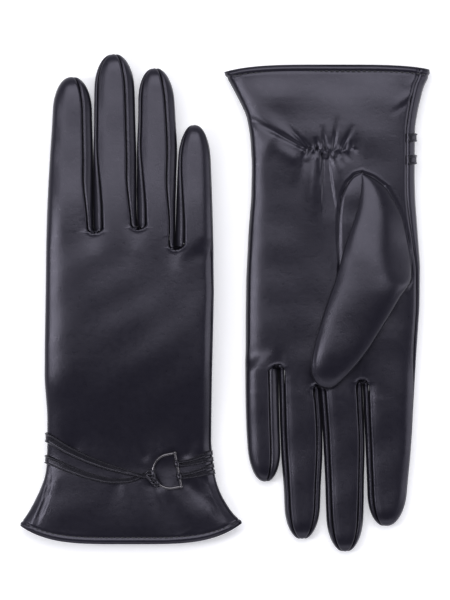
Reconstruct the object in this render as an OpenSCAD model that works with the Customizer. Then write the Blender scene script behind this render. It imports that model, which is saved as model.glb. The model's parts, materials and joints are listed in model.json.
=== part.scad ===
// A pair of leather gloves with a wrist strap and a D-ring, lying flat on a table.
// Each glove is drawn in its own coordinates and then seated in the row frame:
//   u runs across the hand, from the thumb's side to the little finger's side
//   v runs along the hand, from the cuff's edge to the fingertips
//   n runs through the hand, from the palm to the back, and is zero half way
// The right glove lies palm down. The left glove is its mirror image, palm up and turned end for end.

/* [Leather] */
// Thickness of the outer leather
leather_t = 0.9; // [0.7:0.1:1]
// Thickness of the knitted lining
lining_t = 0.5; // [0.3:0.1:0.6]

/* [Hand] */
// Half the thickness of the hand
hand_half = 5.2; // [5:0.1:6]
// Half the thickness of the wrist, which the strap draws in
wrist_half = 4.5; // [4.4:0.1:4.8]
// Half the height of the cuff's open mouth
mouth_half = 6.2; // [5.6:0.1:6.2]
// Distance from the cuff's edge to the crease at the base of the fingers
crease_v = 168; // [165:1:170]

/* [Thumb] */
// Thickness of the thumb, folded flat against the palm
thumb_t = 8; // [7:0.5:8]
// Clearance between the thumb and the palm
thumb_gap = 0.3; // [0.2:0.1:0.4]

/* [Strap and ring] */
// Width of each strap
strap_w = 3.6; // [2.5:0.1:4]
// Thickness of each strap
strap_t = 1.0; // [0.8:0.1:1.1]
// Diameter of the D-ring's wire
wire_d = 1.4; // [1.2:0.1:1.6]
// Length of the D-ring's straight bar
bar_length = 17; // [14:0.5:18]
// Depth of the D-ring, from its bar to the top of its curve
ring_depth = 12.5; // [10:0.5:14]

/* [Lay] */
// Place of each glove's centre line, across the pair
axis_x = [-47.4, 54.35]; // right, left
// Place of the middle of each cuff's edge, along the pair
cuff_y = [-120.2, 118.8]; // right, left

/* [Hidden] */
FINGER_NAMES = ["index", "middle", "ring", "little"];

RIGHT = 1;
LEFT = -1;
BACK = 1;
PALM = -1;

seam_gap = 0.1;      // between two sewn pieces
joint_gap = 0.3;     // between two bodies that move
lining_gap = 0.6;    // between the hand's leather and its lining, where the elastic lies
finger_gap = 0.15;   // between a finger's leather and its lining
hem_width = 5;
hem_t = 0.5;
elastic_t = 0.45;
seam_angle = 55;     // a finger's back and palm strips end this far round from its side
fold_angle = 35;     // the back strip goes this far past the side, on the two outer fingers
tip_round = 17;      // a fingertip's rounding in plan starts this far from its end
tip_thin = 9;        // and its thinning this far
cuff_rise = [10, 4]; // how far the hem's corners curve up, right and left
flare_end = 35;      // the hem's curve has died out here
strap_drop = 6;      // how much lower the left glove's straps meet the thumb's side
little_step = 10;    // the little finger's crease is this far behind the others
little_u = [23.2, 26.4];  // where the little finger meets the ring finger, right and left

// Side edges of the hand, [v, u]: right glove, then left glove
thumb_edge = [
    [[0, -57], [10.5, -54.8], [17, -50.5], [27, -45], [36, -41.8], [50, -41], [65, -41], [85, -42.2],
     [125, -41.7], [168, -40.8]],
    [[0, -49.5], [7, -48.3], [11.5, -45.5], [23, -42.6], [31, -41.2], [56, -41], [67, -41.3], [80, -42.3],
     [100, -43.8], [121, -43.4], [142, -42], [168, -40.4]]
];
little_edge = [
    [[0, 59], [10.5, 56.8], [17.7, 51.3], [27, 45.5], [36, 42.4], [50, 41.2], [65, 41.3], [102, 41.9],
     [126, 42.4], [146, 42.1], [168, 41.6]],
    [[0, 56.5], [4.6, 54], [17.7, 47.2], [26, 43], [36, 41], [49, 40.4], [66, 40.8], [82, 42],
     [106, 43.2], [128, 43.5], [168, 43.5]]
];

// Height of the middle layer over the table, [v, z]: the right glove arches over its own thumb,
// and the left glove's wrist rests on its strap
lie = [
    [[0, 6.2], [26, 7.4], [50, 7.4], [62, 9.4], [80, 12.6], [95, 13.6], [140, 13.6], [154, 12.6], [168, 11.2]],
    [[0, 6.2], [12, 6.6], [26, 7.4], [50, 7.4], [80, 5.9], [95, 5.2], [168, 5.2]]
];

// Each finger: [u at the crease, u half way, u at the tip, v at the tip, half width at the crease, half way]
fingers = [
    [[-29.4, -28.3, -28.4, 233, 10.9, 10.3], [-7.3, -6.9, -7.9, 244.6, 10.6, 10.4],
     [13.5, 14.1, 13.0, 237.4, 9.6, 9.8], [32.6, 32.5, 32.8, 209, 8.9, 8.1]],
    [[-28.0, -27.4, -26.4, 230.3, 12.1, 10.7], [-4.9, -6.0, -6.6, 243, 10.4, 10.1],
     [16.3, 15.1, 15.0, 236.8, 10.0, 9.9], [35.1, 34.6, 33.9, 208, 8.2, 8.0]]
];

hand_rows = [0, 6, 12, 18, 26, 36, 50, 62, 80, 95, 125, 140, 154, 168];
finger_rows = [0, 0.22, 0.44, 0.66, 0.82, 0.92, 0.975, 1];

// The thumb: its outer edge and its inner edge in plan, and half its thickness, from the crease to the tip
thumb_rows = [
    [[-37.2, 110], [-3.9, 99.6], 1], [[-31, 121], [2.5, 114], 1], [[-24, 133], [7, 130], 1],
    [[-15, 145], [10.5, 143], 1], [[-7, 154.5], [11, 153], 0.9], [[-1, 160.5], [9.5, 158.5], 0.65],
    [[3.5, 162.3], [6.2, 161.8], 0.3]
];
// The hood that joins the thumb to the palm: the same, with its height as a share of the thumb's
gusset_rows = [
    [[-16.5, 54.5], [-12, 54.5], 0.14], [[-25, 58.5], [-6.5, 58.5], 0.32], [[-32, 68], [-3.3, 66], 0.58],
    [[-36.5, 79], [-2.5, 77], 0.8], [[-38.9, 93], [-2.7, 88], 0.95], [[-38, 109.6], [-3.8, 99.2], 1]
];
thumb_hole = [-20, 81, 12.5, 21];   // centre u and v, half width and half length
thumb_way = [0.39, 0.92];           // the thumb's direction in plan

// The D-ring: the middle of its bar, and the bar's lean from the v axis
ring_u = 24.4;
ring_v = 37;
ring_lean = 10.8;
ring_r = bar_length / 2;
loop_t = 0.6;

function spow(x, e) = sign(x) * pow(abs(x), e);
function mix(a, b, t) = a + (b - a) * t;
function clamp(x) = min(1, max(0, x));
function glove(side) = side > 0 ? 0 : 1;

// Seats a point of a glove, at height z over the table, in the row frame
function seat(side, u, v, n, z) = [
    axis_x[glove(side)] + side * u,
    cuff_y[glove(side)] + side * v,
    z + side * n
];
function lie_at(side, v) = lookup(v, lie[glove(side)]);

// Half the thickness of the hand along its length
function half_at(v) = lookup(v, [
    [0, mouth_half], [12, mix(wrist_half, mouth_half, 0.7)], [26, wrist_half], [50, wrist_half],
    [62, mix(wrist_half, hand_half, 0.5)], [80, hand_half]
]);
function edge_v(side, v) = v + cuff_rise[glove(side)] * max(0, 1 - v / flare_end);
function low_u(side, v) = lookup(edge_v(side, v), thumb_edge[glove(side)]);
function high_u(side, v) = lookup(edge_v(side, v), little_edge[glove(side)]);
function bulge(x) = pow(max(0, 1 - pow(abs(x), 6)), 0.4);

// How far the rows bend: up at the hem's corners, and back at the little finger
function bend_v(side, u, v, x) =
    cuff_rise[glove(side)] * pow(abs(u) / 56, 4) * max(0, 1 - v / flare_end)
    - little_step * (x > step_x(side) ? 1 : 0) * max(0, (v - 140) / (crease_v - 140));

// How far across the hand a point lies, from -1 to 1
function x_at(side, u, v) =
    let (lo = low_u(side, v), hi = high_u(side, v))
    (2 * u - lo - hi) / (hi - lo);

function step_x(side) = x_at(side, little_u[glove(side)], crease_v);

// The columns across the hand, closely spaced at its edges and where the little finger steps back
function across(side) =
    let (step = step_x(side))
    [-1, -0.99, -0.94, -0.82, -0.5, -0.2, 0.2, step - 0.006, step + 0.006, 0.82, 0.94, 0.99, 1];

// A point of the hand's skin, grown outward by off; x goes from -1 to 1 across it
function hand_point(side, v, x, off, face) =
    let (
        lo = low_u(side, v) - off,
        hi = high_u(side, v) + off,
        u = mix(lo, hi, (x + 1) / 2),
        along = v + bend_v(side, u, v, x)
    )
    seat(side, u, along, face * max(seam_gap / 2, (half_at(v) + off) * bulge(x)), lie_at(side, along));

// Thickness of the hand's skin over a point in plan
function hand_n(side, u, v) = half_at(v) * bulge(x_at(side, u, v));

function quad(a, b, c, d) = [[a, b, c], [a, c, d]];
function turned(side, faces) = side > 0 ? faces : [for (f = faces) [f[0], f[2], f[1]]];
function points_of(outer, inner) = [for (grid = [outer, inner]) for (row = grid) for (p = row) p];

// A closed sheet between an outer and an inner grid of points
module sheet(side, outer, inner) {
    rows = len(outer);
    cols = len(outer[0]);
    deep = rows * cols;
    faces = [
        for (i = [0:rows - 2], j = [0:cols - 2])
            let (a = i * cols + j, b = a + 1, c = b + cols, d = a + cols)
            each concat(quad(a, b, c, d), quad(deep + d, deep + c, deep + b, deep + a)),
        for (i = [0:rows - 2])
            let (a = i * cols, d = a + cols, b = a + cols - 1, c = d + cols - 1)
            each concat(quad(a, d, deep + d, deep + a), quad(c, b, deep + b, deep + c)),
        for (j = [0:cols - 2])
            let (a = j, b = j + 1, c = (rows - 1) * cols + j + 1, d = (rows - 1) * cols + j)
            each concat(quad(b, a, deep + a, deep + b), quad(d, c, deep + c, deep + d))
    ];
    polyhedron(points_of(outer, inner), turned(side, faces));
}

// A closed sleeve between outer and inner rings of points; capped closes it at its last ring
module sleeve(side, outer, inner, capped) {
    rows = len(outer);
    cols = len(outer[0]);
    deep = rows * cols;
    last = deep - cols;
    faces = [
        for (i = [0:rows - 2], j = [0:cols - 1])
            let (a = i * cols + j, b = i * cols + (j + 1) % cols, c = b + cols, d = a + cols)
            each concat(quad(a, b, c, d), quad(deep + d, deep + c, deep + b, deep + a)),
        for (j = [0:cols - 1])
            let (b = (j + 1) % cols)
            each quad(b, j, deep + j, deep + b),
        if (!capped) for (j = [0:cols - 1])
            let (b = (j + 1) % cols)
            each quad(last + j, last + b, deep + last + b, deep + last + j),
        if (capped) for (j = [1:cols - 2])
            each [[last, last + j, last + j + 1], [deep + last, deep + last + j + 1, deep + last + j]]
    ];
    polyhedron(points_of(outer, inner), turned(side, faces));
}

// ---- Hand ----

module hand_panel(side, face) {
    columns = across(side);
    last = len(columns) - 1;
    grid = function (off) [
        for (v = hand_rows) [
            for (i = [0:last]) hand_point(side, v, columns[face > 0 ? last - i : i], off, face)
        ]
    ];
    sheet(side, grid(0), grid(-leather_t));
}

module back_panel(side) {
    color([0.09, 0.09, 0.1]) hand_panel(side, BACK);
}

module palm_panel(side) {
    color([0.09, 0.09, 0.1]) difference() {
        hand_panel(side, PALM);
        thumb_opening(side);
    }
}

// The hole in the palm that the thumb goes through
module thumb_opening(side) {
    at = seat(side, thumb_hole[0], thumb_hole[1], 0, 0);
    depth = 4 * hand_half;
    translate([at[0], at[1], side > 0 ? lie_at(side, thumb_hole[1]) - depth : lie_at(side, thumb_hole[1])])
        linear_extrude(depth)
            polygon([for (a = [0:20:340]) [thumb_hole[2] * cos(a), thumb_hole[3] * sin(a)]]);
}

// Rings all round the hand, grown by off, for the rows given
function hand_rings(side, rows, off) =
    let (columns = across(side), last = len(columns) - 1)
    [
        for (v = rows) concat(
            [for (i = [last:-1:1]) hand_point(side, v, columns[i], off, BACK)],
            [for (i = [0:last - 1]) hand_point(side, v, columns[i], off, PALM)]
        )
    ];

module hand_lining(side) {
    rows = [6, 12, 18, 26, 36, 50, 62, 80, 95, 125, 140, 154, 168];
    off = -leather_t - lining_gap;
    color([0.16, 0.15, 0.16]) difference() {
        sleeve(side, hand_rings(side, rows, off), hand_rings(side, rows, off - lining_t), false);
        thumb_opening(side);
    }
}

// The cuff's edge, turned in and stitched down
module cuff_hem(side) {
    rows = [0.3, hem_width];
    off = -leather_t - 0.16;
    color([0.08, 0.08, 0.09])
        sleeve(side, hand_rings(side, rows, off), hand_rings(side, rows, off - hem_t), false);
}

// The elastic tape that gathers the wrist on the palm's side
module wrist_elastic(side) {
    places = [-0.32, -0.16, 0, 0.16, 0.32, 0.42];
    grid = function (off) [for (v = [41.5, 45.5]) [for (x = places) hand_point(side, v, x, off, PALM)]];
    color([0.12, 0.12, 0.12]) sheet(side, grid(-leather_t - 0.07), grid(-leather_t - 0.07 - elastic_t));
}

// ---- Fingers ----

function crease_of(finger) = finger == 3 ? crease_v - little_step : crease_v;
function rounding(d, reach) = d >= reach ? 1 : pow(1 - pow(1 - d / reach, 2.2), 1 / 2.2);

// Height of a finger's middle over the table: it slopes down until its tip rests there
function finger_z(side, finger, v) =
    let (
        f = fingers[glove(side)][finger],
        start = crease_of(finger),
        share = clamp((v - start) / (f[3] - tip_thin - start))
    )
    mix(lie_at(side, start), hand_half, share);

// A point of a finger's skin, grown outward by off, at angle a round it and share s along it
function finger_point(side, finger, s, a, off) =
    let (
        f = fingers[glove(side)][finger],
        start = crease_of(finger) + joint_gap,
        v = mix(start, f[3] + off, s),
        left = f[3] + off - v,
        mid = clamp(s / 0.6),
        u = s < 0.6 ? mix(f[0], f[1], mid) : mix(f[1], f[2], (s - 0.6) / 0.4),
        w = max(0.3, (mix(f[4], f[5], mid) + off) * rounding(left, tip_round)),
        t = max(0.3, (hand_half + off) * rounding(left, tip_thin))
    )
    seat(side, u + w * spow(cos(a), 0.8), v, t * spow(sin(a), 0.8), finger_z(side, finger, v));

module finger_strip(side, finger, from, to, steps) {
    grid = function (off) [
        for (s = finger_rows) [for (i = [0:steps])
            finger_point(side, finger, s, mix(from + 0.5, to - 0.5, i / steps), off)]
    ];
    sheet(side, grid(0), grid(-leather_t));
}

module finger_back(side, finger) {
    from = finger == 3 ? -fold_angle : seam_angle;
    to = finger == 0 ? 180 + fold_angle : 180 - seam_angle;
    color([0.1, 0.1, 0.11]) finger_strip(side, finger, from, to, to - from > 90 ? 8 : 5);
}

module finger_palm(side, finger) {
    from = finger == 0 ? 180 + fold_angle : 180 + seam_angle;
    to = finger == 3 ? 360 - fold_angle : 360 - seam_angle;
    color([0.1, 0.1, 0.11]) finger_strip(side, finger, from, to, 5);
}

// The side walls let in between neighbouring fingers
module finger_fourchette(side, finger) {
    color([0.08, 0.08, 0.09]) {
        if (finger < 3) finger_strip(side, finger, -seam_angle, seam_angle, 4);
        if (finger > 0) finger_strip(side, finger, 180 - seam_angle, 180 + seam_angle, 4);
    }
}

module finger_lining(side, finger) {
    rings = function (off) [
        for (s = finger_rows) [for (a = [0:30:330]) finger_point(side, finger, s, a, off)]
    ];
    off = -leather_t - finger_gap;
    color([0.16, 0.15, 0.16]) sleeve(side, rings(off), rings(off - lining_t), true);
}

// ---- Thumb ----

// A point of the thumb's skin, shrunk by inset, at angle a round row i
function thumb_point(side, i, a, inset) =
    let (
        row = thumb_rows[i],
        last = i == len(thumb_rows) - 1,
        half_span = (row[0] - row[1]) / 2,
        shrink = max(0.15, norm(half_span) - inset) / norm(half_span),
        mid = (row[0] + row[1]) / 2 - (last ? thumb_way * inset : [0, 0]),
        p = mid + half_span * shrink * spow(cos(a), 0.8),
        t = max(0.15, row[2] * thumb_t / 2 - inset) * spow(sin(a), 0.8),
        n = -(hand_half + thumb_gap + thumb_t / 2) - t
    )
    seat(side, p[0], p[1], n, lie_at(side, p[1]));

module thumb_tube(side, outer, inner) {
    rings = function (inset) [
        for (i = [0:len(thumb_rows) - 1]) [for (a = [0:22.5:337.5]) thumb_point(side, i, a, inset)]
    ];
    sleeve(side, rings(outer), rings(inner), true);
}

module thumb_sleeve(side) {
    color([0.1, 0.1, 0.11]) thumb_tube(side, 0, leather_t);
}

module thumb_lining(side) {
    inset = leather_t + finger_gap;
    color([0.16, 0.15, 0.16]) thumb_tube(side, inset, inset + lining_t);
}

// The hood of leather between the palm's hole and the thumb
module thumb_gusset(side) {
    grid = function (inset) [
        for (row = gusset_rows) [for (a = [0:18:180])
            let (
                half_span = (row[0] - row[1]) / 2,
                p = (row[0] + row[1]) / 2
                    + half_span * (norm(half_span) - inset) / norm(half_span) * spow(cos(a), 0.8)
                    - thumb_way * joint_gap / 2,
                rise = max(0.1, row[2] * (thumb_t + thumb_gap) - seam_gap - inset) * spow(sin(a), 0.8)
            )
            seat(side, p[0], p[1], -hand_n(side, p[0], p[1]) - seam_gap - rise, lie_at(side, p[1]))]
    ];
    color([0.1, 0.1, 0.11]) sheet(side, grid(0), grid(leather_t));
}

// ---- Straps and D-ring ----

// A point on the hand's skin grown by off; q past 1 or -1 goes on round the edge to the palm
function round_point(side, q, v, off) =
    abs(q) <= 1 ? hand_point(side, v, q, off, BACK) : hand_point(side, v, sign(q) * (2 - abs(q)), off, PALM);

// The left glove's straps meet the thumb's side lower down
function lowered(side, path) = [
    for (p = path) [p[0], p[1] - (side > 0 ? 0 : strap_drop * clamp((-p[0] - 0.35) / 0.55)), p[2]]
];

// A strap laid on the glove along path, a list of [q, v, width as a share of strap_w]
module strap(side, path) {
    grid = function (off) [
        for (p = path) [for (edge = [1, -1]) round_point(side, p[0], p[1] - edge * p[2] * strap_w / 2, off)]
    ];
    color([0.07, 0.07, 0.08]) sheet(side, grid(0.15 + strap_t), grid(0.15));
}

module upper_strap(side) {
    strap(side, lowered(side, [
        [-1.1, 53.6, 1], [-1.06, 53.6, 1], [-1.01, 53.5, 1], [-1, 53.4, 1], [-0.99, 53, 1], [-0.94, 51.3, 1], [-0.82, 48, 1],
        [-0.6, 43.4, 1], [-0.35, 39.4, 0.9], [-0.1, 36.9, 0.7], [0.1, 36.2, 0.5], [0.24, 36.2, 0.5]
    ]));
}

module lower_strap(side) {
    strap(side, lowered(side, [
        [-1.1, 42.4, 1], [-1.06, 42.4, 1], [-1.01, 42.1, 1], [-1, 42, 1], [-0.99, 41.7, 1], [-0.94, 41, 1], [-0.82, 38.8, 0.9],
        [-0.6, 35, 0.8], [-0.35, 31.7, 0.7], [-0.1, 31.4, 0.6], [0.1, 32.6, 0.5], [0.24, 33.6, 0.5]
    ]));
}

// Moves its children to the D-ring's bar, with the bar along +Y and the ring's curve towards -X
module at_ring(side) {
    height = wrist_half + 0.2 + loop_t + wire_d / 2;
    translate(seat(side, ring_u, ring_v, height, lie_at(side, ring_v)))
        rotate([0, 0, side > 0 ? ring_lean : 180 + ring_lean])
            children();
}

module d_ring(side) {
    arm = ring_depth - ring_r;
    color([0.3, 0.28, 0.29]) at_ring(side) {
        union() {
            translate([-arm, 0, 0]) rotate([0, 0, 90]) rotate_extrude(angle = 180, $fn = 48)
                translate([ring_r, 0]) circle(d = wire_d, $fn = 24);
            for (end = [-1, 1]) {
                translate([-arm, end * ring_r, 0]) rotate([0, 90, 0]) cylinder(d = wire_d, h = arm, $fn = 24);
                translate([0, end * ring_r, 0]) sphere(d = 1.5 * wire_d, $fn = 24);
            }
            translate([0, -ring_r, 0]) rotate([-90, 0, 0]) cylinder(d = wire_d, h = 2 * ring_r, $fn = 24);
        }
    }
}

// A leather loop round a length of the D-ring's wire
module wire_loop(length) {
    bore = wire_d + 0.1;
    difference() {
        cylinder(d = bore + 2 * loop_t, h = length, center = true, $fn = 32);
        cylinder(d = bore, h = length + 2, center = true, $fn = 32);
    }
}

// The straps' ends, wrapped over the D-ring's curve
module d_ring_wrap(side) {
    arm = ring_depth - ring_r;
    color([0.08, 0.08, 0.09]) at_ring(side) translate([-arm, 0, 0])
        rotate([0, 0, 165]) rotate_extrude(angle = 56, $fn = 64)
            translate([ring_r, 0]) difference() {
                circle(d = wire_d + 0.1 + 2 * loop_t, $fn = 32);
                circle(d = wire_d + 0.1, $fn = 32);
            }
}

// Four narrow straps from the bar to the little finger's side, and their two loops round the bar
module d_ring_straps(side) {
    ends = [[45.4, 39.6], [42.2, 38.6], [39.0, 34.8], [35.8, 33.6]];
    color([0.07, 0.07, 0.08]) {
        for (e = ends) {
            bar_u = ring_u - (e[1] - ring_v) * tan(ring_lean);
            start = x_at(side, bar_u + 1, e[1]);
            places = [[start, 0], [0.82, 0.45], [0.94, 0.8], [0.99, 0.97], [1, 1]];
            strap(side, [for (p = places) [p[0], mix(e[1], e[0], p[1]), mix(0.3, 0.62, clamp(p[1]))]]);
        }
        at_ring(side) for (place = [-3.2, 3.2]) translate([0, place, 0]) rotate([90, 0, 0]) wire_loop(3.4);
    }
}

// ---- Nodes ----

for (side = [RIGHT, LEFT]) {
    hand = side > 0 ? "right" : "left";
    back_panel(side);
    palm_panel(side);
    hand_lining(side);
    cuff_hem(side);
    wrist_elastic(side);
    thumb_gusset(side);
    thumb_sleeve(side);
    thumb_lining(side);
    for (finger = [0:3]) {
        name = str(hand, "_", FINGER_NAMES[finger], "_finger");
        finger_back(side, finger);
        finger_palm(side, finger);
        finger_fourchette(side, finger);
        finger_lining(side, finger);
    }
    upper_strap(side);
    lower_strap(side);
    d_ring_straps(side);
    d_ring(side);
    d_ring_wrap(side);
}
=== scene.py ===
"""A pair of soft leather gloves with gathered wrists, flared cuffs and a strap with a D-ring.

Each glove is drawn in its own coordinates, in millimetres: u across the hand towards the little
finger, v along it from the cuff's edge to the fingertips, n through it from palm to back.
"""

import json
import math

import bpy
import numpy as np
from bpy.props import FloatProperty, FloatVectorProperty, PointerProperty
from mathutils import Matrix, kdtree


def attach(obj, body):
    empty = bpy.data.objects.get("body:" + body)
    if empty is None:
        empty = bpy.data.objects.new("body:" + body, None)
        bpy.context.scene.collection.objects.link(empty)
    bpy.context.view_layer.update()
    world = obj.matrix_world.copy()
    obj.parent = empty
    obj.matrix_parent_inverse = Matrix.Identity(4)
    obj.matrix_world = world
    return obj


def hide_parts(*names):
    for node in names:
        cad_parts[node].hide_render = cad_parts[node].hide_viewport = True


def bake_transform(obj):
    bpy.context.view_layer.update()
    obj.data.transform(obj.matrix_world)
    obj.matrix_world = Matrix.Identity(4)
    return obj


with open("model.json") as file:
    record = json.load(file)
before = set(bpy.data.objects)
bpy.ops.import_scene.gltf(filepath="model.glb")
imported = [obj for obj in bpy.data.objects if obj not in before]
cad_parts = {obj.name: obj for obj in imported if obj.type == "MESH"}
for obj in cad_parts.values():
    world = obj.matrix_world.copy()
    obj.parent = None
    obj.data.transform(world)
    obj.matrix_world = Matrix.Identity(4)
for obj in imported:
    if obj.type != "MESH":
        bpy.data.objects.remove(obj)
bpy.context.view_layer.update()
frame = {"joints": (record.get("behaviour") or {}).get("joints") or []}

bl_info = {
    "name": "Leather Gloves",
    "version": (1, 0, 0),
    "blender": (4, 5, 0),
    "location": "3D View > Sidebar > Gloves",
    "description": "Builds a pair of lined leather gloves with a D-ring strap",
    "category": "Object",
}

MM = 0.001
SIDES = {"right": 1, "left": -1}
FINGERS = ("index", "middle", "ring", "little")
BACK, PALM = 1, -1
JOINTS = {j["name"]: j for j in frame["joints"]}

# Where the D-ring's bar lies on each glove, which ties a glove's own coordinates to the frame
RING_U, RING_V, RING_LEAN = 24.4, 37.0, math.radians(10.8)

HAND_HALF = 5.2  # half of the thickness of the hand where the fingers start
# Half the thickness of the hand along it
HALF = [(0, 5.3), (12, 5.1), (26, 4.5), (50, 4.5), (62, 4.85), (80, 5.2)]
# Along each finger: where its strips start to narrow, where they start, and where its bend ends
CREASE = {"index": 168, "middle": 168, "ring": 168, "little": 158}
JOIN = {"index": 164, "middle": 164, "ring": 164, "little": 154}
BEND_END = {"index": 180, "middle": 180, "ring": 180, "little": 169}
WEB_ROW = 138.0  # the fingers' shapes start to grow out of the hand here
NOTCH = 2.3  # radius of the round end of the gap between two fingers
TIP_ROUND, TIP_THIN = 17.0, 9.0
STRAP_DROP = 6.0
SLIT = 0.7  # degrees: half the gap between a strip and the wall beside it


class Shape:
    """One glove's measured outlines. The two lie differently, so each has its own."""

    def __init__(self, rise, lie, low, high, fingers, forks, palm_forks):
        self.rise, self.lie, self.low, self.high = rise, lie, low, high
        self.fingers, self.forks, self.palm_forks = fingers, forks, palm_forks


SHAPES = {
    "right": Shape(
        rise=10.0,
        lie=[(0, 5.5), (24, 7.4), (48, 7.6), (64, 9.9), (82, 12.4), (100, 13.5), (156, 13.6), (178, 12.9),
             (206, 11.4), (245, 9.4)],
        low=[(0, -57), (10.5, -54.8), (17.7, -50.5), (27, -45.3), (34, -41.9), (40, -41.2), (50, -41), (65, -40.9),
             (82, -42.2), (102, -42), (126, -41.6), (150, -41.3), (168, -40.8)],
        high=[(0, 59), (10.5, 56.7), (17.7, 51.3), (27, 45.5), (33, 43), (40, 42), (50, 41), (60, 41.1), (82, 41.4),
              (102, 41.9), (126, 42.4), (146, 42.1), (168, 41.6)],
        fingers={
            "index": [(140, -41.5, -17.4), (172, -40.5, -18.1), (200, -39, -18), (225, -37.8, -18.6),
                      (233.2, -37.6, -19.2)],
            "middle": [(140, -17.2, 4.6), (172, -17.9, 3.6), (200, -17.8, 3.7), (227, -17.5, 2.9),
                       (244.7, -16.9, 1.8)],
            "ring": [(140, 4.6, 22.9), (172, 3.9, 23.2), (200, 4.0, 24.1), (220, 4.5, 23), (237.6, 4.2, 21.6)],
            "little": [(140, 22.9, 42.2), (172, 23.6, 41.4), (190, 24.4, 40.7), (209.2, 25.4, 39.8)],
        },
        forks=[(-17.3, 155.6), (4.6, 157.6), (22.95, 147.6)],
        palm_forks=[(-16.0, 157.5), (6.0, 159.0), (24.5, 149.0)],
    ),
    "left": Shape(
        rise=4.0,
        lie=[(0, 5.5), (12, 6.5), (26, 7.9), (50, 7.6), (80, 6.5), (100, 6.0), (130, 5.9), (168, 5.4), (200, 5.2)],
        low=[(0, -49.3), (7.4, -48.2), (12, -45.6), (23, -42.7), (31, -41.2), (56, -41), (67, -41.3), (80, -42.3),
             (100, -43.8), (121, -43.5), (142, -42.1), (168, -40.4)],
        high=[(0, 56.5), (4.6, 54), (17.7, 47.2), (26, 43), (35.5, 41.2), (49, 40.4), (66, 40.7), (82, 42),
              (106, 43.2), (128, 43.5), (168, 43.5)],
        fingers={
            "index": [(140, -42, -14.4), (167, -40.4, -15.4), (187, -39.4, -16.4), (217, -37, -17.4),
                      (230.5, -35.6, -17.4)],
            "middle": [(140, -14.4, 8.4), (167, -15.1, 6.1), (187, -16.1, 4.6), (217, -15.9, 3.7),
                       (243.3, -14.7, 2.3)],
            "ring": [(140, 8.4, 27.3), (163, 6.4, 26.7), (186, 4.9, 26.1), (220, 6, 24.2), (237, 6.8, 23.8)],
            "little": [(140, 27.3, 43.6), (167, 26.9, 43.5), (186, 26.4, 42.9), (200, 25.9, 41.6),
                       (208.3, 25.8, 41.4)],
        },
        forks=[(-15.5, 156.5), (7.5, 158.5), (26.5, 148.5)],
        palm_forks=[(-14.4, 158.5), (8.0, 160.8), (27.3, 150.8)],
    ),
}

# The thumb in plan, from the wrist to its tip: [inner edge u, v], [outer edge u, v], thickness
THUMB = [
    (-14.2, 54.3, -15.0, 54.1, 0.4), (-14.4, 57.5, -20.5, 56.3, 1.4), (-14.1, 62, -26.5, 61, 2.5),
    (-13.4, 68, -31.3, 69, 3.6), (-11.8, 74, -34.8, 77, 4.7), (-9.6, 80, -37.3, 85, 5.7),
    (-7.2, 86.5, -38.9, 93, 6.6), (-5.2, 93, -39.8, 101, 7.2), (-3.4, 99.6, -39.4, 107.6, 7.6),
    (-2.0, 104, -37.2, 110.6, 7.8), (0, 110, -33.4, 115.3, 8), (2.9, 118.8, -28.9, 123.6, 8),
         (5.6, 127, -24, 132.2, 8),
    (8, 135, -18.4, 141, 8), (10, 143, -13.5, 147.3, 7.8), (11.2, 150, -8.9, 152.8, 7.2),
    (11, 154.3, -5.2, 156.8, 6.3), (9.4, 157.8, -2.2, 159.7, 5), (7.2, 160.2, 0.3, 161.4, 3.4),
    (4.9, 161.6, 2.4, 162.1, 1.2),
]
INNER_ARC = [(-14.6, 53.6), (-11, 54.6), (-7.2, 58.6), (-4.2, 65.2), (-2.6, 77), (-2.6, 88), (-3.4, 99), (-3.2, 108)]
OUTER_ARC = [(-14.6, 53.6), (-20.5, 56.0), (-26.8, 60.8), (-31.7, 69), (-35.3, 77), (-37.7, 85), (-39.3, 93),
             (-39.9, 101), (-39.6, 107), (-38.6, 109), (-37.2, 110.5)]


# ---- Numbers ----


def soften(table, v, reach=3.0):
    """A table's value at v, with its corners rounded over reach."""
    t = np.asarray(table, float)
    steps = np.linspace(-reach, reach, 7)
    return np.mean([np.interp(v + d, t[:, 0], t[:, 1]) for d in steps], axis=0)


def ease(t):
    t = np.clip(t, 0, 1)
    return t * t * (3 - 2 * t)


def mix(a, b, t):
    return a + (b - a) * t


def spow(x, e):
    return np.sign(x) * np.abs(x) ** e


def bulge(x):
    return np.clip(1 - np.abs(x) ** 6, 0, None) ** 0.4


def rounding(left, reach):
    return np.clip(1 - np.clip(1 - left / reach, 0, 1) ** 2.2, 0, None) ** (1 / 2.2)


def waves(u, v, seed, size, count=7):
    """Smooth, seeded undulation from -1 to 1 whose humps are about size across."""
    rng = np.random.default_rng(seed)
    total = np.zeros_like(u, dtype=float)
    for _ in range(count):
        a, p = rng.uniform(0, 2 * math.pi, 2)
        k = 2 * math.pi / (size * rng.uniform(1.4, 3.2))
        total += np.sin(k * (u * math.cos(a) + v * math.sin(a)) + p)
    return total / count ** 0.5 / 1.4


def fold(u, v, a, b, depth, near, far, fade=1.5):
    """A crease from a to b: deep and narrow (near) at a, shallow and wide (far) at b."""
    a, b = np.asarray(a, float), np.asarray(b, float)
    d = b - a
    t = ((u - a[0]) * d[0] + (v - a[1]) * d[1]) / (d @ d)
    off = np.hypot(u - a[0] - d[0] * np.clip(t, 0, 1), v - a[1] - d[1] * np.clip(t, 0, 1))
    t = np.clip(t, 0, 1)
    return depth * (1 - t) ** fade * np.exp(-(off / mix(near, far, t)) ** 2)


# ---- A glove's own coordinates ----


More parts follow.
